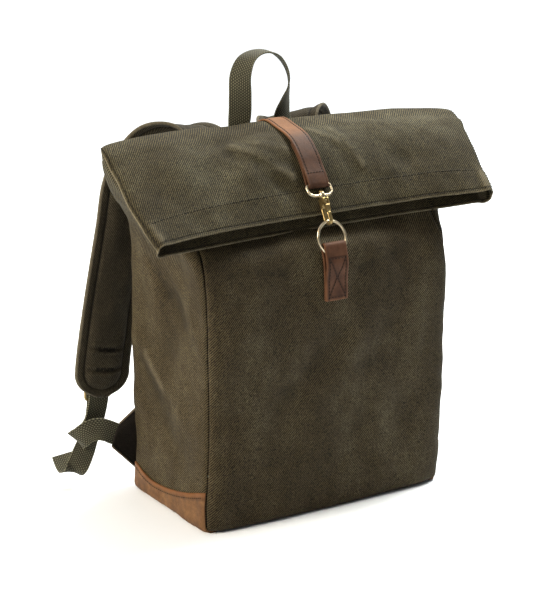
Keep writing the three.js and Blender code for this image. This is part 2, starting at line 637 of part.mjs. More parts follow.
// Grab handle: sewn flat on the back panel, with a quarter turn in each leg
const seat = 3.5 * GAP + WEBBING / 2;
const sewnAt = (t, x) => offBag(t, 1, seat).setX(x);
const handleRows = [
  ...HANDLE_SEWN.map((t) => ({ at: sewnAt(t, -HANDLE_X), turn: 0 })),
  ...HANDLE_LOOP.map(({ at: [x, z], turn }) => ({ at: V(x, HANDLE_Y, z), turn })),
  ...HANDLE_SEWN.toReversed().map((t) => ({ at: sewnAt(t, HANDLE_X), turn: 180 })),
];
const handleCurve = new THREE.CatmullRomCurve3(handleRows.map((r) => r.at), false, "centripetal");
const handleTurn = columnCurve(handleRows, (r) => V(r.turn, 0, 0));
const HANDLE_SAMPLES = 44;
const handleRoute = [];
for (let i = 0; i <= HANDLE_SAMPLES; i++) {
  const t = i / HANDLE_SAMPLES;
  const tangent = handleCurve.getTangent(t);
  const turn = THREE.MathUtils.degToRad(handleTurn(t * (handleRows.length - 1)).x);
  const across = V(-Math.cos(turn), Math.sin(turn), 0);
  across.addScaledVector(tangent, -across.dot(tangent)).normalize();
  handleRoute.push({ at: handleCurve.getPoint(t), across });
}
add("grab_handle", "webbing", band(handleRoute, WEBBING_WIDTH, WEBBING));

// Padded shoulder straps
const PAD_SAMPLES = 40;
const padKept = (i) => i % 2 === 0 || i > PAD_SAMPLES - 4; // closer together in the rounded end
const PAD_END = 27; // length of the rounded lower end
function padSolid(route) {
  const lengths = runningLengths(route.map((r) => r.at));
  const face = (sign) =>
    route.map((r, i) => {
      const left = Math.max(1.2, lengths.at(-1) - lengths[i]);
      const roundEnd = left < PAD_END ? Math.sqrt(1 - Math.pow(1 - left / PAD_END, 2)) : 1;
      const width = PAD_WIDTH * roundEnd;
      const thick = PAD_THICK * (0.45 + 0.55 * roundEnd);
      const normal = r.tangent.clone().cross(r.across).normalize();
      return PAD_PROFILE.map(({ across, share }) =>
        r.at
          .clone()
          .addScaledVector(r.across, (across * width) / 2)
          .addScaledVector(normal, (-sign * share * thick) / 2),
      );
    });
  return slab(face(1), face(-1));
}
const padSewn = PAD_SEWN.map((t) => ({
  at: offBag(t, 1, PAD_THICK / 2 - GAP).setX(PAD_X).toArray(),
  face: outward(t, 1).toArray(),
}));
const padRoute = smoothRoute([...padSewn, ...PAD_ROUTE], PAD_SAMPLES).filter((_, i) => padKept(i));
add("shoulder_pad_left", "canvas", padSolid(padRoute));
add("shoulder_pad_right", "canvas", padSolid(mirrorRoute(padRoute)));

// Slides: a bent wire loop with a middle bar
const slideAt = V(...SLIDE_AT);
const slideCorners = [];
for (let k = 0; k < 4; k++)
  for (let m = 0; m <= 3; m++) {
    const angle = (Math.PI / 2) * (k + m / 3);
    const cornerX = (k === 0 || k === 3 ? 1 : -1) * (SLIDE_HALF_WIDTH - 3);
    const cornerZ = (k < 2 ? 1 : -1) * (SLIDE_BARS - 3);
    slideCorners.push(V(cornerX + 3 * Math.cos(angle), 0, cornerZ + 3 * Math.sin(angle)));
  }
const slideWire = solid(wire(slideCorners, WIRE, V(0, 1, 0)));
const slideBar = new THREE.CylinderGeometry(WIRE, WIRE, 2 * SLIDE_HALF_WIDTH, 8).rotateZ(Math.PI / 2);
const slide = geometryOf(slideWire.add(solid(slideBar)));
add("adjuster_left", "brass", slide.clone().translate(slideAt.x, slideAt.y, slideAt.z));
add("adjuster_right", "brass", slide.clone().translate(-slideAt.x, slideAt.y, slideAt.z));

// Lower webbing: from the anchor, turning back behind the tail, over the slide's middle bar, down as the tail
const turnRadius = WIRE + GAP + WEBBING / 2;
const overBar = [];
for (let k = 0; k <= 6; k++) {
  const angle = (Math.PI * k) / 6;
  overBar.push({
    at: [slideAt.x, slideAt.y + turnRadius * Math.cos(angle), slideAt.z + turnRadius * Math.sin(angle)],
    face: [0, Math.cos(angle), Math.sin(angle)],
  });
}
const webbingRoute = smoothRoute([...LOWER_ROUTE, ...overBar, ...TAIL_ROUTE], 56);
add("lower_webbing_left", "webbing", band(webbingRoute, WEBBING_WIDTH, WEBBING));
add("lower_webbing_right", "webbing", band(mirrorRoute(webbingRoute), WEBBING_WIDTH, WEBBING));

// Anchors: folded canvas triangles from the lower back corners to the webbing
const anchorBase = [];
for (const z of [ANCHOR_BASE.bottom, ANCHOR_BASE.top]) {
  let t = 1.5;
  while (onBag(t, ANCHOR_BASE.girth).z < z) t += 0.01;
  anchorBase.push(mirrored(offBag(t, ANCHOR_BASE.girth, ANCHOR_THICK / 2 - GAP)));
}
const anchorMiddle = V(...ANCHOR_END);
const anchorAcross = webbingRoute[3].across.clone().multiplyScalar(webbingRoute[3].across.z > 0 ? 1 : -1);
const anchorWidth = WEBBING_WIDTH + 3;
const anchorEnd = [-0.5, 0.5].map((k) => anchorMiddle.clone().addScaledVector(anchorAcross, k * anchorWidth));
function anchorFace(distance) {
  return [0, 0.35, 0.7, 1].map((share) => {
    const low = anchorBase[0].clone().lerp(anchorEnd[0], share);
    const high = anchorBase[1].clone().lerp(anchorEnd[1], share);
    return [low, low.clone().lerp(high, 0.5), high].map((p) => p.add(V(0, distance, 0)));
  });
}
const anchor = slab(anchorFace(-ANCHOR_THICK / 2), anchorFace(ANCHOR_THICK / 2));
add("anchor_left", "canvas", anchor);
const otherSide = anchorFace(ANCHOR_THICK / 2).map((row) => row.map(mirrored));
const thisSide = anchorFace(-ANCHOR_THICK / 2).map((row) => row.map(mirrored));
add("anchor_right", "canvas", slab(otherSide, thisSide));

export default bag;
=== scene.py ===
# %% [markdown]
# # Waxed canvas roll-top backpack
# The bag is a tube of waxed canvas, sewn from a front panel and a wrap panel, folded forward at the top
# and held down by a leather strap with a brass snap hook. It stands on a leather base. The stiff model is
# loaded first as a fixed frame, and every piece below is made in the same place, in metres.

# %% Load the frame
import json
import math

import bmesh
import bpy
import numpy as np
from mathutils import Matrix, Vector


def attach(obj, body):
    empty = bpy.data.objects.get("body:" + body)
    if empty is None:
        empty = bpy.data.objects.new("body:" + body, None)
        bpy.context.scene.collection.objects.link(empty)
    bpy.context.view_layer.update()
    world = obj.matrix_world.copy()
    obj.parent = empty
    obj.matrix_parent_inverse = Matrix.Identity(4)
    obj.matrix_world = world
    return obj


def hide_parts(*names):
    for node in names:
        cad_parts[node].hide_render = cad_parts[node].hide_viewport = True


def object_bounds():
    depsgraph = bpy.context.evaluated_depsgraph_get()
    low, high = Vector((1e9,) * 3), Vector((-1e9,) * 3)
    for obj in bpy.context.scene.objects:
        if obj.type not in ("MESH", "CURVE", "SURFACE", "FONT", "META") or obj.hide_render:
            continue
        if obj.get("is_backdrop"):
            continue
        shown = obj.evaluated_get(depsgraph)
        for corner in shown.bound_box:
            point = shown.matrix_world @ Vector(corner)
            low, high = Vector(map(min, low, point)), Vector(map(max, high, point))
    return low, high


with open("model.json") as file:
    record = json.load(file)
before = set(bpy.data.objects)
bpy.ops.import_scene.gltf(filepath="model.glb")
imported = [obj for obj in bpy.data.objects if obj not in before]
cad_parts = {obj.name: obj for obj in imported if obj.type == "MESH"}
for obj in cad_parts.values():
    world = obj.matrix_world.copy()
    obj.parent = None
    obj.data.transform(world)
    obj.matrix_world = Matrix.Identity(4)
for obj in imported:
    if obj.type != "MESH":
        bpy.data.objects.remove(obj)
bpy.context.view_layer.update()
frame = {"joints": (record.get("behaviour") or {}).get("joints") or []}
MM = 0.001

# %% [markdown]
# ## Camera, floor and light
# The photograph was taken from the front left, a little above the bag, with a long lens. A wide soft
# light hangs overhead, a warm one stands on the left and another hangs at the upper right, so the side
# and the top of the flap are bright and the front stays dark. A pale floor runs on behind the bag, with a
# light of its own, and makes the plain background.

# %% Camera, floor and light
scene = bpy.context.scene
scene.view_settings.view_transform = "Standard"

camera_lens = bpy.data.cameras.new("camera")
camera_lens.lens = 114.9
camera = bpy.data.objects.new("camera", camera_lens)
camera.location = (-1.1118, -1.7009, 0.7934)
view_line = Vector((-0.0224, 0.0, 0.2188)) - camera.location
camera.rotation_euler = view_line.to_track_quat("-Z", "Y").to_euler()
scene.collection.objects.link(camera)
scene.camera = camera


def soft_light(name, place, size, power, aim=(0, 0, 0.2), colour=(1, 1, 1)):
    lamp = bpy.data.lights.new(name, "AREA")
    lamp.shape = "DISK"
    lamp.size = size
    lamp.energy = power
    lamp.color = colour
    holder = bpy.data.objects.new(name, lamp)
    holder.location = place
    holder.rotation_euler = (Vector(aim) - holder.location).to_track_quat("-Z", "Y").to_euler()
    scene.collection.objects.link(holder)


soft_light("key_left", (-2.4, 0.0, 1.45), 1.0, 95, colour=(1.0, 0.9, 0.74))
soft_light("top_right", (1.25, 0.25, 2.05), 0.9, 93, colour=(0.98, 1.0, 0.95))
soft_light("overhead", (0.0, 2.4, 6.0), 14.0, 455)
soft_light("far_floor", (3.0, 5.0, 3.0), 4.0, 90, aim=(3.2, 5.4, 0.0))

world = bpy.data.worlds.new("studio")
world.use_nodes = True
world.node_tree.nodes["Background"].inputs["Color"].default_value = (1, 1, 1, 1)
world.node_tree.nodes["Background"].inputs["Strength"].default_value = 0.15
scene.world = world
print("camera", round(view_line.length, 3), "m from the middle of the bag")

# %% [markdown]
# ## Node helpers
# Every finish is a small tree of shader nodes. Small helpers keep the trees short: they add a node and
# set or link its inputs by name, mix colours, sum weighted values, rescale a value or turn a height into
# bump.


# %% Node helpers
def start_finish(name):
    finish = bpy.data.materials.new(name)
    finish.use_nodes = True
    tree = finish.node_tree
    where = tree.nodes.new("ShaderNodeTexCoord").outputs["Object"]
    return finish, tree, tree.nodes["Principled BSDF"], where


def feed(tree, target, value):
    if isinstance(value, bpy.types.NodeSocket):
        tree.links.new(value, target)
    else:
        target.default_value = value


def set_inputs(tree, made, **inputs):
    for key, value in inputs.items():
        feed(tree, made.inputs[key.replace("_", " ")], value)


def node(tree, kind, settings=None, **inputs):
    made = tree.nodes.new(kind)
    for key, value in (settings or {}).items():
        setattr(made, key, value)
    set_inputs(tree, made, **inputs)
    return made


def maths(tree, operation, a, b=0.0):
    made = tree.nodes.new("ShaderNodeMath")
    made.operation = operation
    feed(tree, made.inputs[0], a)
    feed(tree, made.inputs[1], b)
    return made.outputs[0]


def mix(tree, factor, a, b, mode="MIX"):
    made = node(tree, "ShaderNodeMix", {"data_type": "RGBA", "blend_type": mode})
    for place, value in ((0, factor), (6, a), (7, b)):
        feed(tree, made.inputs[place], value)
    return made.outputs[2]


def ramp(tree, factor, stops):
    made = tree.nodes.new("ShaderNodeValToRGB")
    feed(tree, made.inputs["Fac"], factor)
    while len(made.color_ramp.elements) < len(stops):
        made.color_ramp.elements.new(0.5)
    for element, (place, colour) in zip(made.color_ramp.elements, stops):
        element.position = place
        element.color = (*colour, 1)
    return made.outputs["Color"]


def weighted(tree, *parts):
    """Sum of values, each times its weight."""
    total = None
    for value, weight in parts:
        share = maths(tree, "MULTIPLY", value, weight)
        total = share if total is None else maths(tree, "ADD", total, share)
    return total


def rescale(tree, value, low, high, to_low=0.0, to_high=1.0):
    made = node(tree, "ShaderNodeMapRange", Value=value, From_Min=low, From_Max=high,
                To_Min=to_low, To_Max=to_high)
    return made.outputs[0]


def dimmed(colour, share):
    return (*(share * v for v in colour), 1)


def roughen(tree, surface, height, strength, depth):
    bump = node(tree, "ShaderNodeBump", Strength=strength, Distance=depth, Height=height)
    feed(tree, surface.inputs["Normal"], bump.outputs["Normal"])


def noise(tree, where, scale, detail=3.0, rough=0.55):
    made = node(tree, "ShaderNodeTexNoise", Vector=where, Scale=scale, Detail=detail, Roughness=rough)
    return made.outputs["Fac"]


def mark(tree, name):
    return node(tree, "ShaderNodeAttribute", {"attribute_name": name}).outputs["Fac"]


floor_finish, tree, surface, where = start_finish("pale studio floor")
floor_tones = [(0.2, (0.88, 0.915, 0.96)), (0.8, (0.905, 0.94, 0.985))]
set_inputs(tree, surface, Base_Color=ramp(tree, noise(tree, where, 3.0), floor_tones), Roughness=0.9)
floor_mesh = bpy.data.meshes.new("studio_floor")
floor_mesh.from_pydata([(-12, -12, 0), (12, -12, 0), (12, 16, 0), (-12, 16, 0)], [], [(0, 1, 2, 3)])
floor_mesh.materials.append(floor_finish)
floor = bpy.data.objects.new("studio_floor", floor_mesh)
scene.collection.objects.link(floor)
floor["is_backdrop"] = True
print("floor and", len(tree.nodes), "nodes in its finish")

# %% [markdown]
# ## The form of the bag
# The bag could be sculpted or simulated, but then the leather, the stitches and the seams would have
# nothing exact to lie on. Here it is one tube with two coordinates: `t` counts the sections from the base
# to the mouth, and `girth` runs round the bag, 0 at the front middle, 0.5 at the right side fold, 1 at
# the back middle and 1.5 at the left side fold. The table holds, for each section, the front, edge and
# back lines as y and z, the half width, how boxy and how arched it is, and its lean. The numbers are
# those of the frame, with lengths in mm.

# %% Sections of the bag
SECTIONS = np.array([
    # front y, z, edge y, z, back y, z, half width, square, arch, shift, tilt
    (-60, 2.5, 0, 2.5, 62, 2.5, 129, 14, 2, 0, 0),
    (-87, 0.4, 0, 2.6, 79, 2.6, 148, 14, 2, 0, 0),
    (-91.5, 4.2, 0, 7, 84, 7, 153, 16, 2, 0, 0),
    (-91, 70, 0, 70, 85, 70, 154, 16, 2, 3, 0),
    (-92, 150, 0, 150, 85, 150, 154, 16, 2, 4, 0),
    (-92.5, 235, 0, 225, 85, 230, 155, 15, 2, 4, 0),
    (-85, 292, 1, 280, 83, 290, 158.5, 12, 2, 3, 0),
    (-61, 312, 3, 312, 80, 325, 168.5, 8, 2, 1.5, 0.01),
    (-38, 337, 6, 340, 74, 355, 190, 5, 2, 1.5, 0.015),
    (-13, 366, 8, 367, 62, 383, 210.5, 4, 2.2, 3, 0.01),
    (5, 385, 9, 388.5, 47, 401.5, 219, 3.5, 2.6, 3.5, 0),
    (13, 393, 8, 401, 28, 412.2, 226, 3, 2.9, 6, -0.008),
    (2, 391, -5, 393.5, 0, 407.2, 226.5, 3, 2.9, 6, -0.006),
    (-18, 379, -23, 380, -22, 398, 223, 3, 2.8, 4, 0.01),
    (-33, 361, -44, 362, -40, 381.5, 221, 3, 2.6, 2, 0.02),
    (-46, 337, -67, 343, -56, 354, 216.5, 3, 2.6, 0.5, 0.02),
    (-63, 310.5, -91, 322, -71, 327, 211, 4, 2.6, 0, 0.015),
])
CANVAS, LEATHER, WEBBING, WEBBING_WIDTH, GAP, WIRE = 2.0, 2.2, 1.8, 25.0, 0.3, 1.5
FOLD_TIP, FRONT_SEAM, RIDGE, MOUTH = 3.0, 0.332, 11, 16
HALF_GIRTH = 452.0
HEM_SEAM, HEM_DEPTH, SIDE_SEAM, BORDER, ANCHOR_SEAM = 3.4, 28.0, 4.6, 9.5, 4.0
NEAR_MOUTH = 15.5
SIDES = (("left", 1), ("right", -1))


def through(rows, t):
    """Centripetal curve through the rows of a table, passing row i at t = i."""
    rows = np.asarray(rows, float)
    t = np.clip(np.atleast_1d(np.asarray(t, float)), 0, len(rows) - 1)
    i = np.minimum(t.astype(int), len(rows) - 2)
    w = (t - i)[:, None]
    more = np.vstack([2 * rows[0] - rows[1], rows, 2 * rows[-1] - rows[-2]])
    p0, p1, p2, p3 = (more[i + k] for k in range(4))
    steps = (p1 - p0, p2 - p1, p3 - p2)
    d0, d1, d2 = (np.maximum((v**2).sum(1, keepdims=True), 1e-12) ** 0.25 for v in steps)
    d1 = np.where(d1 < 1e-2, 1, d1)
    d0 = np.where(d0 < 1e-2, d1, d0)
    d2 = np.where(d2 < 1e-2, d1, d2)
    m1 = ((p1 - p0) / d0 - (p2 - p0) / (d0 + d1) + (p2 - p1) / d1) * d1
    m2 = ((p2 - p1) / d1 - (p3 - p1) / (d1 + d2) + (p3 - p2) / d2) * d1
    return p1 + m1 * w + (3 * (p2 - p1) - 2 * m1 - m2) * w**2 + (2 * (p1 - p2) + m1 + m2) * w**3


def smoothstep(x, a, b):
    s = np.clip((np.asarray(x, float) - a) / (b - a), 0, 1)
    return s * s * (3 - 2 * s)


def bell(x, width):
    return np.exp(-((x / width) ** 2))


def unit(v):
    return v / np.maximum(np.linalg.norm(v, axis=-1, keepdims=True), 1e-12)


def run_lengths(points):
    """Length along a route, or along the rows of a grid as a mean over its columns."""
    steps = np.linalg.norm(np.diff(points, axis=0), axis=-1)
    return np.concatenate([[0], np.cumsum(steps if steps.ndim == 1 else steps.mean(1))])


STEP_T, STEP_G = 0.02, 0.0025
T = np.linspace(0, MOUTH, int(MOUTH / STEP_T) + 1)
GIRTH = np.arange(0, 2, STEP_G)
RIGHT = np.where(GIRTH <= 1, GIRTH, 2 - GIRTH)
front, edge, back = (through(SECTIONS[:, k:k + 2], T) for k in (0, 2, 4))
form = through(SECTIONS[:, 6:9], T)
lean = through(SECTIONS[:, 9:11], T)
BREADTHS = np.concatenate([np.linspace(0, 0.93, 160), 1 - 0.06 * (1 - np.linspace(0, 1, 40)) ** 4])
shares = np.linspace(0, 1, int(0.5 / STEP_G) + 1)


def rounded(power):
    return (1 - BREADTHS**power) ** (1 / power)


quarter = np.empty((len(T), 2 * len(shares) - 1, 3))
for i in range(len(T)):
    half, square, arch = form[i]
    apart = (back[i] - front[i]) / 2
    tip = min(1, FOLD_TIP / np.linalg.norm(apart))
    spread = tip * rounded(10) + (1 - tip) * rounded(square)
    rise = 1 - BREADTHS**arch
    for side, place in ((-1, slice(0, len(shares))), (1, slice(len(shares) - 1, None))):
        yz = edge[i] + rise[:, None] * ((front[i] + back[i]) / 2 - edge[i])
        yz = yz + side * spread[:, None] * apart
        line = np.column_stack([half * BREADTHS, yz])[::-side]
        run = run_lengths(line)
        evened = [np.interp(shares * run[-1], run, line[:, k]) for k in range(3)]
        quarter[i, place] = np.column_stack(evened)
mirror = quarter[:, -2:0:-1] * (-1, 1, 1)
smooth = np.concatenate([quarter, mirror], axis=1)
lowest = GAP + LEATHER * smoothstep(RIGHT, FRONT_SEAM - 0.05, FRONT_SEAM)
smooth[..., 2] = np.maximum(smooth[..., 2] + lean[:, 1:2] * smooth[..., 0], lowest)
smooth[..., 0] += lean[:, 0:1]
print("bag surface:", smooth.shape, "ridge at", round(smooth[..., 2].max(), 1), "mm")

# %% [markdown]
# ## Dents, folds and seams
# Waxed canvas keeps its creases. The large dents are those of the frame, except that the first fold of
# the flap starts a little lower, as in the photograph. The smaller folds, the creases beside the strap,
# the seam rolls and the hems are added here as heights on the same surface. Each fold is a line in space
# with a reach and a height, which is how one would press it in by hand. The slow waves come from a fixed
# set of cosines, so the cloth is the same on every run.

# %% Heights on the surface
BODY, FLAP = "body", "flap"
FOLDS = [
    # part, from, to, reach, height
    (BODY, (-156, -30, 305), (-151, -5, 190), 26, -5),
    (BODY, (-151, 66, 175), (-151, -20, 118), 20, 3.5),
    (BODY, (-151, 40, 120), (-151, -40, 70), 24, -3),
    (BODY, (158, 30, 300), (153, 10, 170), 30, -5),
    (BODY, (-60, -91, 260), (-75, -90, 130), 30, -3),
    (BODY, (70, -91, 200), (95, -88, 90), 30, -3),
    (FLAP, (64, -14, 402), (120, -50, 371), 20, -3.5),
    (FLAP, (-60, 15, 412), (-110, -40, 378), 22, -3),
    # smaller ones that only the looks need
    (BODY, (-151, 42, 168), (-151, 12, 140), 7, 1.4),
    (BODY, (-151, 56, 158), (-151, 24, 128), 11, -2.0),
    (BODY, (-152, -20, 262), (-152, -62, 205), 13, 1.7),
    (BODY, (-152, 10, 270), (-152, -30, 222), 14, -2.2),
    (BODY, (-152, 40, 290), (-152, 25, 215), 14, 1.8),
    (BODY, (-152, 30, 274), (-152, 4, 244), 10, -2.4),
    (BODY, (-152, -50, 120), (-152, -20, 95), 13, 1.2),
    (BODY, (152, -20, 262), (152, -50, 200), 10, -2.2),
    (BODY, (152, 40, 150), (152, -10, 110), 12, 2.0),
    (BODY, (-120, -91, 282), (-60, -91, 276), 10, -1.8),
    (BODY, (40, -91, 268), (120, -91, 285), 10, -1.8),
    (BODY, (-100, -91, 215), (-40, -91, 190), 14, 1.2),
    (BODY, (10, -91, 140), (110, -91, 128), 16, 1.3),
    (BODY, (-130, -91, 60), (-60, -91, 48), 12, 1.0),
    (BODY, (-140, -91, 238), (-62, -91, 165), 17, 2.0),
    (BODY, (0, -91, 198), (-50, -91, 148), 22, -2.8),
    (BODY, (45, -91, 152), (38, -91, 92), 20, -2.4),
    (BODY, (22, -91, 172), (78, -91, 226), 17, 1.8),
    (BODY, (-90, 85, 300), (-120, 85, 230), 16, -2.5),
    (BODY, (90, 85, 300), (120, 85, 230), 16, -2.5),
    (BODY, (-60, 85, 140), (60, 85, 110), 20, -2.0),
    (FLAP, (-22, -28, 393), (-52, -20, 398), 6, 1.6),
    (FLAP, (-20, -42, 380), (-60, -38, 382), 7, -1.6),
    (FLAP, (22, -8, 404), (46, -28, 394), 5.5, 1.8),
    (FLAP, (26, -42, 377), (60, -40, 378), 8, -0.8),
    (FLAP, (50, -12, 403), (66, -48, 370), 6, 1.5),
    (FLAP, (40, -24, 394), (50, -52, 362), 9, -0.7),
    (FLAP, (-78, -15, 400), (-25, -48, 366), 6, 1.9),
    (FLAP, (-86, -23, 391), (-32, -56, 349), 8, -1.8),
    (FLAP, (152, -14, 395), (184, -41, 372), 6, 1.5),
    (FLAP, (196, -12, 392), (224, -24, 379), 5, 1.2),
    (FLAP, (-75, -52, 352), (-150, -60, 348), 9, 1.2),
    (FLAP, (90, -50, 360), (160, -58, 352), 9, 1.3),
    (FLAP, (-150, -10, 388), (-185, -45, 362), 9, -1.6),
    (FLAP, (140, 0, 398), (180, -40, 368), 10, -1.8),
    (FLAP, (-30, 0, 408), (-120, -12, 396), 8, -1.3),
    (FLAP, (48, 4, 408), (110, -4, 402), 6, 1.0),
]


def normals_of(points):
    across = np.roll(points, -1, axis=1) - np.roll(points, 1, axis=1)
    return unit(np.cross(across, np.gradient(points, axis=0)))


def cloth_waves(points, length, seed, count=18):
    """Slow random waves of about the given length in mm, with a spread of one."""
    random = np.random.default_rng(seed)
    waves = np.zeros(points.shape[:-1])
    for direction in unit(random.normal(size=(count, 3))):
        pace = 2 * np.pi / (length * random.uniform(0.7, 1.5))
        waves += np.cos(points @ (direction * pace) + random.uniform(0, 2 * np.pi))
    return waves * math.sqrt(2 / count)


def away_from(points, start, end):
    start, end = np.array(start, float), np.array(end, float)
    along = np.clip((points - start) @ (end - start) / ((end - start) ** 2).sum(), 0, 1)
    return np.linalg.norm(points - start - along[..., None] * (end - start), axis=-1)


UP = T[:, None]
upper = UP > RIDGE - 1
outer_layer = upper & (GIRTH > 0.5) & (GIRTH < 1.5)
inner_layer = upper & ~outer_layer
heights = np.zeros(smooth.shape[:2])
for part, start, end, reach, most in FOLDS:
    where_it_is = outer_layer if part == FLAP else ~upper
    heights += np.where(where_it_is, most * bell(away_from(smooth, start, end), reach), 0)

# The cloth lies calm under the strap, the tab, the handle and the pads, and at the bottom
beside = np.abs(smooth[..., 0])
on_back = (UP > 7) & (GIRTH > 0.8) & (GIRTH < 1.2)
on_front = (UP > 4.6) & (UP < 6.4) & (RIGHT < 0.12)
under_pads = (UP > 7) & (UP < 10) & (GIRTH > 0.7) & (GIRTH < 1.3)
calm = np.where(on_back, smoothstep(beside, 16, 48), 1) * np.where(on_front, smoothstep(beside, 17, 32), 1)
calm = calm * np.where(under_pads, 0.25, 1) * smoothstep(UP, 0.6, 2.2)
slow = 0.75 * cloth_waves(smooth, 85, 3) + 0.25 * cloth_waves(smooth, 34, 5)
slow = slow + 0.09 * cloth_waves(smooth, 15, 8)
to_side = np.abs(RIGHT - 0.5) * HALF_GIRTH
straight_sides = np.where(UP > 10, 0.15 + 0.85 * smoothstep(to_side, 6, 60), 1)
straight_sides = straight_sides * np.where(GIRTH > 0.5, 1 - 0.7 * bell(UP - RIDGE, 0.8), 1)
slow = calm * straight_sides * np.where(inner_layer, 0.3, 1) * slow

# Seam rolls: the front panel's edge stands a little proud, the wrap sinks to it and puckers
to_seam = (RIGHT - FRONT_SEAM) * HALF_GIRTH
pucker = np.cos(2 * np.pi * UP * 40 / 13 + 1.7 * cloth_waves(smooth, 40, 11))
roll = np.where(to_seam < 0, 0.8 * bell(to_seam + 4.2, 3.4), 0.3 * bell(to_seam - 5, 4))
roll = roll - 0.8 * bell(to_seam, 1.7) + 0.12 * pucker * bell(to_seam, 9)
heights += np.where(inner_layer, 0.4, 1) * roll * smoothstep(UP, 1.2, 2.2)

# Hems: double cloth for 28 mm at the mouth, and a crisp pressed edge along the flap's sides
speed = np.linalg.norm(np.gradient(smooth, axis=0), axis=-1) / STEP_T
to_mouth = (MOUTH - UP) * speed[-60:].mean(0)
hem = smoothstep(-to_mouth, -29.5, -27.5) * upper
heights += 0.7 * hem - 0.5 * bell(to_mouth - 3.6, 1.3) * hem
round_end = np.where(GIRTH < 1, 4.6, 2.4) * bell(to_side - 10, 7) * smoothstep(UP, 14.6, 15.9)
heights += np.where(upper, round_end, 0)
pressed = outer_layer * smoothstep(UP, 10.5, 11.5)
heights -= pressed * 0.75 * bell(to_side - SIDE_SEAM, 1.5)

bag_points = smooth + normals_of(smooth) * (heights + slow)[..., None]
bag_points[..., 2] = np.maximum(bag_points[..., 2], lowest)
bag_normals = normals_of(bag_points)

# This mark tells how far a place stands out from those around it, and is negative in hollows. The finish
# turns what stands out pale as rubbed wear and darkens the hollows as painted shade.
form_height = heights + 0.25 * slow
rub_and_shade = np.zeros_like(form_height)
for axis, steps in ((1, 7), (0, 6)):
    around = np.roll(form_height, -steps, axis=axis) + np.roll(form_height, steps, axis=axis)
    rub_and_shade += form_height - around / 2
rub_and_shade[:7], rub_and_shade[-7:] = 0, 0
rub_and_shade = np.where(~upper & (rub_and_shade > 0), 0.5 * rub_and_shade, rub_and_shade)
# Under the flap, near the side folds, the mark is pushed down into the range of hollows: painted shadow of
# the flap.
painted_flap_shadow = smoothstep(UP, 7.4, 8.6) * smoothstep(-UP, -10.9, -10.3)
rub_and_shade -= 0.6 * bell(to_side, 45) * painted_flap_shadow


def pick(table, t, girth):
    """Value of a table over the bag at any t and girth."""
    a = np.clip(np.asarray(t, float) / STEP_T, 0, len(T) - 1.001)
    b = np.mod(np.asarray(girth, float), 2) / STEP_G
    i, j = a.astype(int), b.astype(int) % len(GIRTH)
    u, v, k = a - i, b - np.floor(b), (j + 1) % len(GIRTH)
    if table.ndim == 3:
        u, v = u[..., None], v[..., None]
    near = table[i, j] * (1 - u) + table[i + 1, j] * u
    far = table[i, k] * (1 - u) + table[i + 1, k] * u
    return near * (1 - v) + far * v


def outward(t, girth):
    return unit(pick(bag_normals, t, girth))


def on_bag(t, girth, distance=0.0):
    return pick(bag_points, t, girth) + outward(t, girth) * np.asarray(distance, float)[..., None]


print("heights from", round(heights.min(), 1), "to", round(heights.max(), 1), "mm")

# %% [markdown]
# ## From grids to closed pieces
# Cloth, leather and webbing are all sheets with a thickness. A helper takes an outer and an inner grid of
# points and closes them with a half-round edge, because cut cloth and leather never end in a sharp
# corner. It also stores a UV map in metres, so a weave keeps its real size, and named marks such as
# `edge` or `from_fold`, which the finishes use for wear, for sewn lines and for painted shade.


# %% Grid helpers
def make_piece(name, points, faces, finish, uv=None, marks=None):
    mesh = bpy.data.meshes.new(name)
    mesh.from_pydata((np.asarray(points) * MM).tolist(), [], faces)
    mesh.materials.append(finish)
    mesh.polygons.foreach_set("use_smooth", np.ones(len(mesh.polygons), bool))
    if uv is not None:
        corners = np.empty(len(mesh.loops), np.int32)
        mesh.loops.foreach_get("vertex_index", corners)
        layer = mesh.uv_layers.new(name="cloth")
        layer.data.foreach_set("uv", (np.asarray(uv) * MM)[corners].ravel())
    for key, values in (marks or {}).items():
        layer = mesh.attributes.new(key, "FLOAT", "POINT")
        layer.data.foreach_set("value", np.asarray(values, np.float32).ravel())
    mesh.update()
    piece = bpy.data.objects.new(name, mesh)
    scene.collection.objects.link(piece)
    print(name, "has", len(mesh.polygons), "faces")
    return piece


def rim_of(rows, columns):
    across, up = np.arange(columns), np.arange(rows)
    i = np.concatenate([0 * across, up[1:], 0 * across[:-1] + rows - 1, up[-2:0:-1]])
    j = np.concatenate([across, 0 * up[1:] + columns - 1, across[-2::-1], 0 * up[-2:0:-1]])
    return i, j


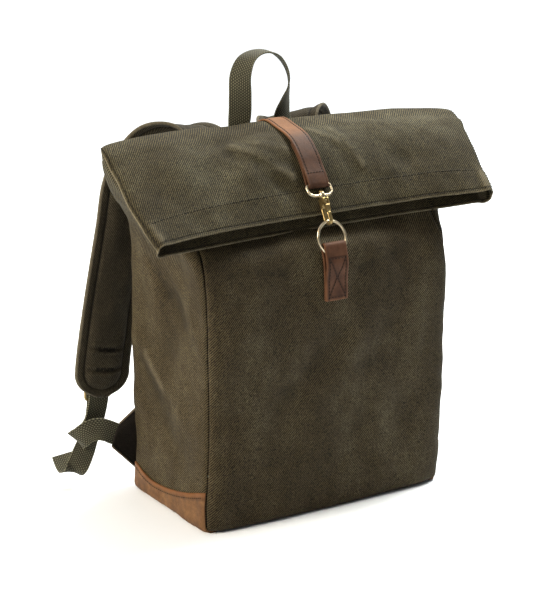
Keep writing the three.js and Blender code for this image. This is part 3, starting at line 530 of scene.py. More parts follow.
def sheet_piece(name, outer, inner, uv, finish, marks=None):
    """Closed sheet between two grids. Seen from outside, columns run to the right and rows upwards."""
    rows, columns = outer.shape[:2]
    size = rows * columns
    face = np.arange(size).reshape(rows, columns)
    corners = (face[:-1, :-1], face[:-1, 1:], face[1:, 1:], face[1:, :-1])
    quads = [np.stack(corners, -1).reshape(-1, 4)]
    quads.append(quads[0][:, ::-1] + size)
    i, j = rim_of(rows, columns)
    ni, nj = np.clip(i, 1, rows - 2), np.clip(j, 1, columns - 2)
    middle, half = (outer[i, j] + inner[i, j]) / 2, (outer[i, j] - inner[i, j]) / 2
    away = middle - (outer[ni, nj] + inner[ni, nj]) / 2
    away = away - half * ((away * half).sum(-1) / (half**2).sum(-1))[:, None]
    away = unit(away) * np.linalg.norm(half, axis=-1, keepdims=True)
    points, rings = [outer.reshape(-1, 3), inner.reshape(-1, 3)], [face[i, j]]
    for k, angle in enumerate((0.25, 0.5, 0.75)):
        points.append(middle + half * math.cos(angle * math.pi) + away * math.sin(angle * math.pi))
        rings.append(2 * size + k * len(i) + np.arange(len(i)))
    rings.append(face[i, j] + size)
    for first, second in zip(rings[:-1], rings[1:]):
        quads.append(np.stack([np.roll(first, -1), first, second, np.roll(second, -1)], -1))

    def spread(values):
        flat = values.reshape(size, -1)
        return np.concatenate([flat, flat] + [values[i, j].reshape(len(i), -1)] * 3)

    all_marks = {key: spread(values) for key, values in (marks or {}).items()}
    faces = np.concatenate(quads).tolist()
    return make_piece(name, np.concatenate(points), faces, finish, spread(uv), all_marks)


def evenly(points, step, *others, soften=0):
    """Points of a route at even steps, with other columns carried along."""
    run = run_lengths(points)
    at = np.linspace(0, run[-1], max(3, int(run[-1] / step) + 1))
    made = []
    for table in (points, *others):
        made.append(np.column_stack([np.interp(at, run, column) for column in np.asarray(table, float).T]))
    for _ in range(soften):
        for v in made:
            v[1:-1] = (v[:-2] + 2 * v[1:-1] + v[2:]) / 4
    return made


def faced_route(rows, count, step, soften):
    """Even route through rows of a place and a direction, with the direction along it."""
    t = np.linspace(0, len(rows) - 1, count)
    return evenly(through(rows[:, :3], t), step, through(rows[:, 3:], t), soften=soften)


def strip(route, across, width, thick, columns, relief=None):
    """Outer and inner grid of a flat strap along a route, with its UV in mm."""
    tangent = unit(np.gradient(route, axis=0))
    across = unit(across - tangent * (across * tangent).sum(-1, keepdims=True))
    out = np.cross(across, tangent)
    k = np.linspace(-0.5, 0.5, columns) * (width - thick)
    uv = np.stack(np.broadcast_arrays(k[None, :], run_lengths(route)[:, None]), -1)
    base = route[:, None] + across[:, None] * k[None, :, None]
    lift = thick / 2 + (relief(uv[..., 0], uv[..., 1]) if relief else 0 * uv[..., 0])
    return base + out[:, None] * lift[..., None], base - out[:, None] * lift[..., None], uv


def settle(piece, body, slot, *nodes):
    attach(piece, body)
    if nodes:
        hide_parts(*nodes)


SEAMS = {}


def sew(thread, points, lie):
    """Keeps a line of stitches for later: its points and the direction that it faces."""
    SEAMS.setdefault(thread, []).append((np.asarray(points, float), np.asarray(lie, float)))


def sew_grid(thread, grid, lie, rows, columns, above):
    """A line of stitches through places of a sheet's grid, a little above it."""
    sew(thread, grid[rows, columns] + above * lie[rows, columns], lie[rows, columns])


def sew_bag(thread, t, girth, above):
    sew(thread, on_bag(t, girth, above), outward(t, girth))


# %% [markdown]
# ## Waxed canvas
# The cloth is a coarse twill: fine ridges run up to the right, about two millimetres apart. Wax makes it
# dark and cloudy, and every crease and edge that has been rubbed turns pale. The twill is a wave across
# the UV map, broken by noise so that no ridge is perfect. Clouds come from three sizes of noise. The mark
# of crests and hollows lightens what stands out, as rubbed wear, and darkens the hollows and the neck
# under the flap with painted shade. Marks with a distance, such as `from_mouth`, put pale rims and dark
# sewn lines where they belong. Below the flap the cloth is a shade browner.


# %% Canvas finish
WAVE_SCALE, TWILL_PITCH = 0.314159, 2.0 * MM


def canvas_finish(name, dark, mid, light, rub, edges, seams, weave=1.0, low_tint=(1, 1, 1)):
    finish, tree, surface, where = start_finish(name)
    cloth = node(tree, "ShaderNodeUVMap", {"uv_map": "cloth"}).outputs["UV"]
    slant = (0, 0, math.radians(45))
    turned = node(tree, "ShaderNodeMapping", Vector=cloth, Rotation=slant).outputs["Vector"]
    bands = node(tree, "ShaderNodeTexWave", {"wave_type": "BANDS", "bands_direction": "X"}, Vector=turned,
                 Scale=WAVE_SCALE / TWILL_PITCH, Distortion=1.6, Detail=2.0, Detail_Scale=2.5)
    twill = bands.outputs["Fac"]
    streak = node(tree, "ShaderNodeMapping", Vector=turned, Scale=(900, 260, 1)).outputs["Vector"]
    yarn = noise(tree, streak, 1.0, 2.0, 0.7)
    grain = noise(tree, where, 950.0, 2.0, 0.6)
    heather = noise(tree, where, 800.0, 1.5, 0.7)
    upright = node(tree, "ShaderNodeMapping", Vector=where, Scale=(1.0, 1.0, 0.45)).outputs["Vector"]
    cloud = noise(tree, upright, 15.0, 4.0, 0.6)
    patch = noise(tree, where, 46.0, 4.0, 0.62)
    fleck = noise(tree, where, 210.0, 3.0, 0.65)
    tone = weighted(tree, (cloud, 0.56), (patch, 0.24), (fleck, 0.2))
    colour = ramp(tree, tone, [(0.34, dark), (0.5, mid), (0.67, light)])
    ridge = weighted(tree, (twill, 0.25), (yarn, 0.3), (heather, 0.47))
    shades = [(0.4, [1 - 0.85 * weave] * 3), (0.51, [0.85] * 3), (0.62, [1 + 2.0 * weave] * 3)]
    shade = ramp(tree, ridge, shades)
    colour = mix(tree, 1.0, colour, shade, "MULTIPLY")
    high = node(tree, "ShaderNodeSeparateXYZ", Vector=where).outputs["Z"]
    colour = mix(tree, rescale(tree, high, 0.34, 0.29), colour, (*low_tint, 1), "MULTIPLY")
    worn = maths(tree, "MULTIPLY", mark(tree, "rub_and_shade"), maths(tree, "ADD", fleck, 0.35))
    colour = mix(tree, rescale(tree, worn, 0.3, 1.5, 0.0, 0.3), colour, (*rub, 1))
    for key, most in edges:
        close = rescale(tree, maths(tree, "ABSOLUTE", mark(tree, key)), 1.2, 0.3, 0.0, most)
        rubbed = maths(tree, "MULTIPLY", close, maths(tree, "ADD", fleck, 0.4))
        colour = mix(tree, rubbed, colour, (*rub, 1))
    # Where the mark is negative, in hollows and under the flap, the colour goes towards the dark tone:
    # painted shade.
    painted_hollow_shade = rescale(tree, mark(tree, "rub_and_shade"), -0.15, -1.2, 0.0, 0.42)
    colour = mix(tree, painted_hollow_shade, colour, dimmed(dark, 0.4))
    height = weighted(tree, (ridge, 0.8), (grain, 0.3))
    for key, inset in seams:
        line = maths(tree, "ABSOLUTE", maths(tree, "SUBTRACT", mark(tree, key), inset))
        close = rescale(tree, line, 1.2, 0.3, 0.0, 0.48)
        colour = mix(tree, close, colour, dimmed(dark, 0.35))
        height = maths(tree, "SUBTRACT", height, maths(tree, "MULTIPLY", close, 0.8))
    set_inputs(tree, surface, Base_Color=colour, Roughness=rescale(tree, tone, 0.3, 0.7, 0.85, 0.66),
               Specular_IOR_Level=0.12, Sheen_Weight=0.02, Sheen_Roughness=0.5)
    roughen(tree, surface, height, 0.9, 0.001)
    return finish


# Each has a dark, a middle and a light tone and the colour of rubbed places, then its rims and its seams
waxed_canvas = canvas_finish(
    "waxed canvas",
    (0.0166, 0.0125, 0.0055), (0.0288, 0.0228, 0.0105), (0.0485, 0.0415, 0.0215), (0.2, 0.168, 0.11),
    [("from_mouth", 0.36), ("from_fold", 0.75)], [("from_mouth", HEM_SEAM), ("from_fold", SIDE_SEAM)],
    low_tint=(0.95, 0.88, 0.86),
)
pad_canvas = canvas_finish(
    "pad canvas",
    (0.018, 0.0143, 0.0082), (0.0262, 0.0212, 0.0125), (0.038, 0.0316, 0.019), (0.13, 0.11, 0.074),
    [("from_edge", 0.7)], [("from_edge", BORDER)], weave=0.6,
)
# The anchors are the pad's canvas, but their tones are darkened far below the pad's to paint the shade they
# sit in behind the bag; their pale rims are rubbed wear.
shaded_anchor_canvas = canvas_finish(
    "anchor canvas with painted shade",
    (0.004, 0.003, 0.002), (0.007, 0.005, 0.0032), (0.012, 0.0088, 0.0056), (0.12, 0.096, 0.066),
    [("from_edge", 0.9)], [("from_edge", ANCHOR_SEAM)], weave=0.6,
)
print("canvas finish:", len(waxed_canvas.node_tree.nodes), "nodes")

# %% [markdown]
# ## Front panel and wrap panel
# Both panels are cut from the same tube, between the two front seams, and the front panel's lower corners
# are rounded off. The front panel ends as the inner lip of the mouth. The wrap panel goes round both
# sides and the back and ends as the outer hem of the flap. A cloth simulation could shift the places of
# seams and strap, so the panels are laid out on the surface directly, a point about every three
# millimetres.

# %% Canvas panels
reach = run_lengths(bag_points[:, ::8])


def rows_of(count):
    return np.interp(np.linspace(0, reach[-1], count), reach, T)


CORNER, CORNER_FOOT, FAR_MM = 9.5, 1.3, 200


def corner_cut(t):
    """How much of the girth the front panel loses on each side where its lower corner is rounded off."""
    up = np.clip(np.interp(t, T, reach) - np.interp(CORNER_FOOT, T, reach), 0, CORNER)
    return (CORNER - np.sqrt(CORNER**2 - (CORNER - up) ** 2)) / HALF_GIRTH


def canvas_panel(name, node_name, first, last, columns, rows, corners):
    t, girth = np.meshgrid(rows_of(rows), np.linspace(-1, 1, columns), indexing="ij")
    girth = (first + last) / 2 + girth * ((last - first) / 2 + corners * corner_cut(t))
    doubled = CANVAS - 0.4 * pick(hem.astype(float), t, girth)
    uv = np.stack([girth * HALF_GIRTH, np.interp(t, T, reach)], -1)
    right = np.where(girth > 1, 2 - girth, np.abs(girth))
    below_flap = FAR_MM * np.maximum(0, 10.6 - t)
    marks = {
        "rub_and_shade": pick(rub_and_shade, t, girth),
        "from_mouth": (MOUTH - t) * pick(speed, NEAR_MOUTH, girth),
        "from_fold": (right - 0.5) * HALF_GIRTH + below_flap,
    }
    piece = sheet_piece(name, on_bag(t, girth), on_bag(t, girth, -doubled), uv, waxed_canvas, marks)
    settle(piece, "bag", "canvas", node_name)
    area = sum(p.area for p in piece.data.polygons) / 2
    return piece, area


seam_clear = 1.2 / HALF_GIRTH
front_panel, front_area = canvas_panel("canvas_front", "front_panel", -FRONT_SEAM + seam_clear,
                                       FRONT_SEAM - seam_clear, 122, 230, -1)
wrap_panel, wrap_area = canvas_panel("canvas_wrap", "wrap_panel", FRONT_SEAM + seam_clear,
                                     2 - FRONT_SEAM - seam_clear, 214, 220, 1)
print("front panel cut", round(front_area, 3), "m2, wrap panel cut", round(wrap_area, 3), "m2")

# %% Stitch lines of the canvas
CANVAS_LIFT = 0.12
hem_girth, lip_girth = np.linspace(0.53, 1.47, 260), np.linspace(-0.47, 0.47, 240)
for g, from_edge in ((hem_girth, HEM_SEAM), (hem_girth, HEM_DEPTH), (lip_girth, HEM_SEAM)):
    sew_bag("canvas_thread", MOUTH - from_edge / pick(speed, NEAR_MOUTH, g), g, CANVAS_LIFT)
for g in (0.5 + SIDE_SEAM / HALF_GIRTH, 1.5 - SIDE_SEAM / HALF_GIRTH):
    sew_bag("canvas_thread", np.linspace(10.9, 15.9, 120), g, CANVAS_LIFT)
print("stitch lines so far:", len(SEAMS["canvas_thread"]))

# %% [markdown]
# ## Leather
# The strap and the tab are oiled leather, reddish brown, dark where hands have rubbed and tan where the
# strap bends over the ridge. The base is a lighter tan. Leather grain is small cells with fine wrinkles
# between them, so the bump is a Voronoi pattern over noise. Cut edges are burnished and show orange, and
# the sewn lines sit in dark grooves. The marks `tan`, `edge` and `sewn` say where.


# %% Leather finish
def leather_finish(name, dark, mid, light, edge_colour, tan):
    finish, tree, surface, where = start_finish(name)
    cells = node(tree, "ShaderNodeTexVoronoi", {"feature": "DISTANCE_TO_EDGE"}, Vector=where, Scale=900.0)
    cloud = noise(tree, where, 24.0, 4.0, 0.6)
    stain = noise(tree, where, 95.0, 4.0, 0.65)
    pore = noise(tree, where, 700.0, 3.0, 0.6)
    tone = weighted(tree, (cloud, 0.55), (stain, 0.32), (pore, 0.13))
    colour = ramp(tree, tone, [(0.34, dark), (0.5, mid), (0.68, light)])
    tanned = maths(tree, "MULTIPLY", mark(tree, "tan"), maths(tree, "ADD", stain, 0.35))
    colour = mix(tree, maths(tree, "MINIMUM", tanned, 0.9), colour, (*tan, 1))
    burnt = maths(tree, "MULTIPLY", mark(tree, "edge"), maths(tree, "ADD", stain, 0.4))
    colour = mix(tree, maths(tree, "MINIMUM", burnt, 0.92), colour, (*edge_colour, 1))
    colour = mix(tree, maths(tree, "MINIMUM", mark(tree, "sewn"), 0.8), colour, dimmed(dark, 0.3))
    set_inputs(tree, surface, Base_Color=colour, Roughness=rescale(tree, tone, 0.3, 0.7, 0.5, 0.68),
               Specular_IOR_Level=0.14)
    height = weighted(tree, (cells.outputs["Distance"], 1.4), (pore, 0.5), (stain, 0.8))
    roughen(tree, surface, height, 0.4, 0.0005)
    return finish


# Each has a dark, a middle and a light tone, then the colours of cut edges and of tanned places
strap_leather = leather_finish(
    "oiled strap leather",
    (0.038, 0.0152, 0.0077), (0.08, 0.0338, 0.0168), (0.132, 0.064, 0.035),
    (0.17, 0.07, 0.026), (0.23, 0.11, 0.052),
)
base_leather = leather_finish(
    "tan base leather",
    (0.042, 0.0182, 0.0068), (0.112, 0.0545, 0.0225), (0.208, 0.111, 0.048),
    (0.15, 0.058, 0.018), (0.15, 0.077, 0.034),
)
print("leather finish:", len(base_leather.node_tree.nodes), "nodes")

# %% [markdown]
# ## Leather base
# One piece of leather lies under the bag and turns up at both sides as a patch with a dipped top edge.
# Its front edge follows the rounded corner of the front panel. As a grid it is a channel: down the left
# side, across the bottom and up the right side, so no seam is needed in it.

# %% Leather base
PATCH_BACK, PATCH_FRONT_TOP, PATCH_DROP, PATCH_DIP, PATCH_DIP_AT = 0.66, 49.0, 12.0, 13.0, 0.65
PATCH_SEAM = 4.2


def patch_top(girth):
    share = (girth - FRONT_SEAM) / (PATCH_BACK - FRONT_SEAM)
    bow = np.where(share < PATCH_DIP_AT, share / PATCH_DIP_AT, (1 - share) / (1 - PATCH_DIP_AT))
    height = PATCH_FRONT_TOP - PATCH_DIP * np.sin(bow * np.pi / 2) - PATCH_DROP * share
    return 2 + (height - 7) / 63  # section 2 has its edge at 7 mm and section 3 at 70 mm


patch_girth = np.linspace(FRONT_SEAM + 0.0028, PATCH_BACK - 0.002, 72)
patch_share = np.linspace(0, 1, 34)[:, None]
patch_t = np.interp(patch_share * np.interp(patch_top(patch_girth), T, reach), reach, T)
from_back = (PATCH_BACK - patch_girth) / (PATCH_BACK - FRONT_SEAM)
patch_right = patch_girth - corner_cut(patch_t) * from_back**4
sides = {}
for distance in (GAP + LEATHER, GAP):
    right = on_bag(patch_t, patch_right, distance)
    left = on_bag(patch_t, 2 - patch_right, distance)
    below = np.linspace(0, 1, 64)[1:-1, None, None]
    bottom = left[:1] * (1 - below) + right[:1] * below
    sides[distance] = np.concatenate([left[::-1], bottom, right])
base_outer, base_inner = sides[GAP + LEATHER], sides[GAP]
base_outer[..., 2] = np.maximum(base_outer[..., 2], 0.0)
base_inner[..., 2] = np.maximum(base_inner[..., 2], base_outer[..., 2] + 0.6)
base_run = run_lengths(base_outer)
base_uv = np.stack(np.broadcast_arrays(patch_girth * HALF_GIRTH, base_run[:, None]), -1)
from_top = np.minimum(base_run, base_run[-1] - base_run)[:, None] + 0 * patch_girth
base_marks = {
    "edge": 0.75 * bell(from_top, 3.4),
    "tan": 0.1 * bell(from_top, 14),
    "sewn": 0.7 * bell(from_top - PATCH_SEAM, 0.9),
}
base_piece = sheet_piece("leather_base", base_outer, base_inner, base_uv, base_leather, base_marks)
settle(base_piece, "bag", "base_leather", "base_leather")

sewn_girth = patch_girth[2:-2]
below_edge = np.interp(np.interp(patch_top(sewn_girth), T, reach) - PATCH_SEAM, reach, T)
for g in (sewn_girth, 2 - sewn_girth):
    sew_bag("base_thread", below_edge, g, GAP + LEATHER + 0.1)

# %% [markdown]
# ## Closing strap and ring tab
# The strap starts on the back, runs over the ridge, folds round the bar of the brass loop and comes back
# under itself. The tab is a short strap folded through the ring and sewn flat on the front with a box and
# a cross. Both are a strip along a route that keeps its distance from the cloth.

# %% Closing strap
STRAP_WIDTH, STRAP_START, STRAP_END, STRAP_RETURN = 26.0, 7.4, 15.0, 13.2
STRAP_SEAM = STRAP_END - 0.4
SEAM_INSET, SEAM_COLUMNS, STITCH_LIFT = 3.4, np.arange(3, 24), 0.1
ALONG_X = np.array([1.0, 0.0, 0.0])
EYE = WIRE + GAP + LEATHER / 2
FIRST = GAP + LEATHER / 2
SECOND = FIRST + LEATHER + GAP
strap_end = on_bag(STRAP_END, 1.0)
strap_out = outward(STRAP_END, 1.0)
strap_down = -np.cross(strap_out, ALONG_X)
bar_centre = strap_end + strap_out * (FIRST + EYE)


def over_strap(t, distance):
    points = on_bag(t, 1.0, distance)
    points[:, 0] = strap_end[0]
    return points


t = np.arange(STRAP_START, STRAP_END - 0.3, 0.08)
lift = FIRST + (SECOND - FIRST) * smoothstep(t, STRAP_RETURN - 1.6, STRAP_RETURN)
lift = lift + (2 * EYE - (SECOND - FIRST)) * smoothstep(t, STRAP_END - 0.8, STRAP_END - 0.1)
angle = np.linspace(0, np.pi, 15)[:, None]
round_bar = bar_centre + strap_out * EYE * np.cos(angle) + strap_down * EYE * np.sin(angle)
t_back = np.arange(STRAP_END - 0.25, STRAP_RETURN, -0.08)
under_itself = over_strap(t_back, FIRST)
strap_points = np.concatenate([over_strap(t, lift), round_bar, under_itself])
strap_height = np.concatenate([t, np.full(len(round_bar) + len(t_back), STRAP_END)])[:, None]
strap_route, strap_t = evenly(strap_points, 1.6, strap_height, soften=2)
outer, inner, uv = strip(strap_route, -ALONG_X, STRAP_WIDTH, LEATHER, 27)
from_side = STRAP_WIDTH / 2 - np.abs(uv[..., 0])
strap_tan = smoothstep(-strap_t, -13.3, -12.3) * np.ones_like(uv[..., 0])
groove = 0.35 * bell(from_side - SEAM_INSET, 0.8)[..., None]
outer = outer + unit(inner - outer) * groove
strap_marks = {
    "edge": 0.7 * bell(from_side, 1.0),
    "tan": 0.75 * strap_tan,
    "sewn": 0.75 * bell(from_side - SEAM_INSET, 0.7) * (strap_t < STRAP_SEAM),
}
strap_marks["sewn"] = np.maximum(strap_marks["sewn"], 0.3 * smoothstep(strap_t, 12.4, 13.6))
strap_piece = sheet_piece("leather_strap", outer, inner, uv, strap_leather, strap_marks)
settle(strap_piece, "bag", "leather", "closing_strap")

stitched = (strap_t[:, 0] > STRAP_START + 0.15) & (strap_t[:, 0] < STRAP_SEAM)
rows = np.nonzero(stitched)[0]
faces_out = unit(outer - inner)
for column in (SEAM_COLUMNS[0], SEAM_COLUMNS[-1]):
    sew_grid("leather_thread", outer, faces_out, rows, column, STITCH_LIFT)
for row in (rows[-1], rows[0], rows[0] + 14):
    sew_grid("leather_thread", outer, faces_out, row, SEAM_COLUMNS, STITCH_LIFT)
print("bar of the loop at", np.round(bar_centre, 1))

# %% Place of the hook and ring tab
PIVOT = np.array(frame["joints"][0]["pos_m"]) / MM
PIVOT_OUT, PIVOT_DOWN, BEND_DOWN, HOOK_GAP = 3, 7.2, 27.2, 3.2
slope = math.radians(28)
hook_down = np.array([0, -math.sin(slope), -math.cos(slope)])
hook_out = np.array([0, -math.cos(slope), math.sin(slope)])
hub = PIVOT - PIVOT_OUT * hook_out - PIVOT_DOWN * hook_down


def in_hook(x, out, down):
    x, out, down = (np.asarray(v, float)[..., None] for v in (x, out, down))
    return hub + ALONG_X * x + hook_out * out + hook_down * down


TAB_TOP, TAB_BOTTOM, TAB_X, TAB_POCKET, TAB_WIDTH = 285.7, 239.0, 1.5, 10.0, 28.0
RING_WIRE, RING_RADIUS = 1.6, 17.1
BOX_LOW, BOX_TOP, NOT_SEWN = 3.5, 46.0, 9
TAB_STEP = 1.4
ring_top = in_hook(0.0, 0.0, BEND_DOWN + HOOK_GAP - RING_WIRE - GAP)
front_t = np.arange(4, 7, 0.01)
front_z = on_bag(front_t, 0.0)[:, 2]
tab_top, tab_bottom = (np.interp(z, front_z, front_t) for z in (TAB_TOP, TAB_BOTTOM))
TAB_EYE = RING_WIRE + GAP + LEATHER / 2


def on_tab(t, distance):
    points = on_bag(t, 0.0, distance)
    points[..., 0] = TAB_X
    return points


ring_bottom = on_tab(tab_top, FIRST + TAB_EYE)
share = np.linspace(0, 1, 40)
t = tab_bottom + (tab_top - 0.06 - tab_bottom) * share
lift = SECOND + (2 * TAB_EYE - (SECOND - FIRST)) * smoothstep(share, 0.4, 0.88)
ring_up = unit(ring_top - ring_bottom)
pocket_up = unit(ring_up * (0, 1, 1))
pocket_out = np.cross(ALONG_X, pocket_up)
pocket_top = ring_bottom + pocket_up * TAB_POCKET
round_ring = pocket_top + pocket_out * TAB_EYE * np.cos(angle) + pocket_up * TAB_EYE * np.sin(angle)
tab_points = np.concatenate([on_tab(t, lift), round_ring, on_tab(t[::-1], FIRST)])
tab_route, = evenly(tab_points, TAB_STEP, soften=2)
outer, inner, uv = strip(tab_route, ALONG_X, TAB_WIDTH, LEATHER, 27)
from_side = TAB_WIDTH / 2 - np.abs(uv[..., 0])
from_end = np.minimum(uv[..., 1], uv[-1, 0, 1] - uv[..., 1])
edge_mark = 0.8 * bell(np.minimum(from_side, from_end + 0.6), 1.1)
inside = from_side > SEAM_INSET
from_box = np.abs(from_side - SEAM_INSET)
for box_end in (BOX_LOW, BOX_TOP):
    from_box = np.minimum(from_box, np.where(inside, np.abs(uv[..., 1] - box_end), NOT_SEWN))
in_box = (from_side > 3) & (uv[..., 1] > BOX_LOW - 0.5) & (uv[..., 1] < BOX_TOP + 0.5)
across_box = uv[..., 0] / (TAB_WIDTH - 2 * SEAM_INSET) * (BOX_TOP - BOX_LOW)
up_box = uv[..., 1] - (BOX_LOW + BOX_TOP) / 2
from_cross = np.minimum(np.abs(up_box - across_box), np.abs(up_box + across_box)) * 0.45
from_box = np.where(uv[..., 1] < BOX_TOP + 0.8, from_box, NOT_SEWN)
sewn_line = np.minimum(from_box, np.where(in_box, from_cross, NOT_SEWN))
tab_marks = {"edge": edge_mark, "tan": 0.0 * from_side, "sewn": 0.8 * bell(sewn_line, 0.75)}
tab_piece = sheet_piece("leather_tab", outer, inner, uv, strap_leather, tab_marks)
settle(tab_piece, "bag", "leather", "ring_tab")

faces_out = unit(outer - inner)
low_row, high_row = 2, int(BOX_TOP / TAB_STEP)
up_rows = np.arange(low_row, high_row + 1)
cross_rows = [round(low_row + (high_row - low_row) * s) for s in np.linspace(0, 1, 21)]
for rows, columns in (
    (up_rows, SEAM_COLUMNS[0]), (up_rows, SEAM_COLUMNS[-1]),
    (low_row, SEAM_COLUMNS), (high_row, SEAM_COLUMNS),
    (cross_rows, SEAM_COLUMNS), (cross_rows, SEAM_COLUMNS[::-1]),
):
    sew_grid("leather_thread", outer, faces_out, rows, columns, STITCH_LIFT)

# %% [markdown]
# ## Antique brass
# The loop, hook, ring and slides are brass with a dull brown patina. The loop and the ring are rubbed
# paler. The finish is a metal whose colour and roughness follow noise. Wire pieces are tubes along their
# real path, and the hook is cast: a bar bent to a hook below a forked head, which holds a gate with a
# thumb lever on a pin.


# %% Brass finish and wire
def brass_finish(name, bright, dull, rough):
    finish, tree, surface, where = start_finish(name)
    patina = noise(tree, where, 190.0, 4.0, 0.6)
    speck = noise(tree, where, 900.0, 3.0, 0.6)
    tone = weighted(tree, (patina, 0.7), (speck, 0.3))
    set_inputs(tree, surface, Base_Color=ramp(tree, tone, [(0.34, dull), (0.6, bright)]), Metallic=1.0,
               Roughness=rescale(tree, tone, 0.35, 0.65, rough + 0.14, rough))
    roughen(tree, surface, tone, 0.15, 0.0003)
    return finish


brass = brass_finish("antique brass", (0.37, 0.27, 0.115), (0.14, 0.095, 0.038), 0.36)
pale_brass = brass_finish("rubbed brass", (0.64, 0.55, 0.39), (0.31, 0.245, 0.15), 0.27)


def tube(path, side, radius, sides=14, closed=True, flat=1.0):
    """Points and faces of a round bar. flat scales the section along the side direction."""
    path = np.asarray(path, float)
    count = len(path)
    radius = np.broadcast_to(np.asarray(radius, float), (count,))
    if closed:
        tangent = unit(np.roll(path, -1, axis=0) - np.roll(path, 1, axis=0))
    else:
        tangent = unit(np.gradient(path, axis=0))
    a = unit(side - tangent * (tangent @ side)[:, None])
    b = np.cross(tangent, a)
    turn = 2 * np.pi * np.arange(sides) / sides
    rings = a[:, None] * np.cos(turn)[None, :, None] * flat + b[:, None] * np.sin(turn)[None, :, None]
    points = (path[:, None] + rings * radius[:, None, None]).reshape(-1, 3)
    i, k = np.meshgrid(np.arange(count if closed else count - 1), np.arange(sides), indexing="ij")
    m, n = (i + 1) % count, (k + 1) % sides
    quads = np.stack([i * sides + k, i * sides + n, m * sides + n, m * sides + k], -1)
    faces = quads.reshape(-1, 4).tolist()
    if not closed:
        faces.append(list(range(sides))[::-1])
        faces.append(list(range((count - 1) * sides, count * sides)))
    return points, faces


def joined(*parts):
    points, faces = [], []
    for some_points, some_faces in parts:
        start = sum(len(p) for p in points)
        points.append(np.asarray(some_points))
        faces += [[v + start for v in face] for face in some_faces]
    return np.concatenate(points), faces


SHARP_ANGLE = math.radians(38)


def wire_piece(name, parts, finish):
    piece = make_piece(name, *joined(*parts), finish)
    piece.data.set_sharp_from_angle(angle=SHARP_ANGLE)
    return piece


# %% Loop, ring and slides
def lathe(profile, sides=20):
    """Turned part along the hook's length: rows of down and radius."""
    rows = np.array(profile, float)
    path = in_hook(0 * rows[:, 0], 0 * rows[:, 0], rows[:, 0])
    return tube(path, ALONG_X, rows[:, 1], sides, closed=False)


LOOP_HALF = 14.9
bar_out, bar_down = (bar_centre - hub) @ hook_out, (bar_centre - hub) @ hook_down
loop_rows = np.array([
    # x, and the share of the way from the strap's bar to the hub
    (-LOOP_HALF + 3, 0), (0, 0), (LOOP_HALF - 3, 0), (LOOP_HALF, 0.22), (LOOP_HALF, 0.5),
    (LOOP_HALF - 3.5, 0.9), (5, 1), (-5, 1), (-LOOP_HALF + 3.5, 0.9), (-LOOP_HALF, 0.5), (-LOOP_HALF, 0.22),
])
ring_of_rows = np.concatenate([loop_rows[-2:], loop_rows, loop_rows[:2]])
loop_path = through(ring_of_rows, np.linspace(2, 13, 111)[:-1])
loop_path = in_hook(loop_path[:, 0], bar_out * (1 - loop_path[:, 1]), bar_down * (1 - loop_path[:, 1]))
hub_collar = lathe([(-3, 1.9), (-3, 3.0), (-2.4, 3.4), (2.2, 3.4), (2.8, 3.0), (2.8, 1.9)])
loop_piece = wire_piece("brass_loop", [tube(loop_path, hook_out, WIRE), hub_collar], pale_brass)
settle(loop_piece, "bag", "brass", "strap_loop")

ring_half = np.linalg.norm(ring_top - ring_bottom) / 2
turn = np.linspace(0, 2 * np.pi, 97)[:-1, None]
ring_path = (ring_top + ring_bottom) / 2 + ALONG_X * RING_RADIUS * np.sin(turn)
ring_path = ring_path + ring_up * ring_half * np.cos(turn)
ring_piece = wire_piece("brass_ring", [tube(ring_path, np.cross(ALONG_X, ring_up), RING_WIRE)], pale_brass)
settle(ring_piece, "bag", "brass", "catch_ring")

SLIDE_AT, SLIDE_HALF, SLIDE_BARS, SLIDE_CORNER = np.array([-171.6, 124.8, 107]), 15.5, 9.5, 3
corner_turn = np.linspace(0, np.pi / 2, 9)
slide_path = np.concatenate([
    np.column_stack([
        sx * (SLIDE_HALF - SLIDE_CORNER) + SLIDE_CORNER * np.cos(corner_turn + k * np.pi / 2),
        0 * corner_turn,
        sz * (SLIDE_BARS - SLIDE_CORNER) + SLIDE_CORNER * np.sin(corner_turn + k * np.pi / 2),
    ])
    for k, (sx, sz) in enumerate([(1, 1), (-1, 1), (-1, -1), (1, -1)])
])
slide_bar = np.column_stack([np.linspace(-SLIDE_HALF, SLIDE_HALF, 9), np.zeros(9), np.zeros(9)])
for side, sign in SIDES:
    place = SLIDE_AT * (sign, 1, 1)
    depth = np.array([0.0, 1.0, 0.0])
    middle_bar = tube(slide_bar + place, depth, WIRE, 12, closed=False)
    parts = [tube(slide_path + place, depth, WIRE), middle_bar]
    settle(wire_piece("brass_slide_" + side, parts, brass), "bag", "brass", "adjuster_" + side)


# %% Snap hook and gate
BEVEL_DIGITS = 4  # places after the point, in mm, that a bevel gives alike every time


def in_order(points, faces):
    """Sorts points by place and faces by points, because a bevel leaves them in any order."""
    points = points.round(BEVEL_DIGITS)
    order = np.lexsort(points.T)
    new_number = np.argsort(order)
    made = []
    for face in faces:
        face = new_number[face].tolist()
        step = 2 if len(face) == 4 else 1  # four corners keep the diagonal that splits them
        start = min(range(0, len(face), step), key=lambda k: face[k])
        made.append(face[start:] + face[:start])
    return points[order], sorted(made)


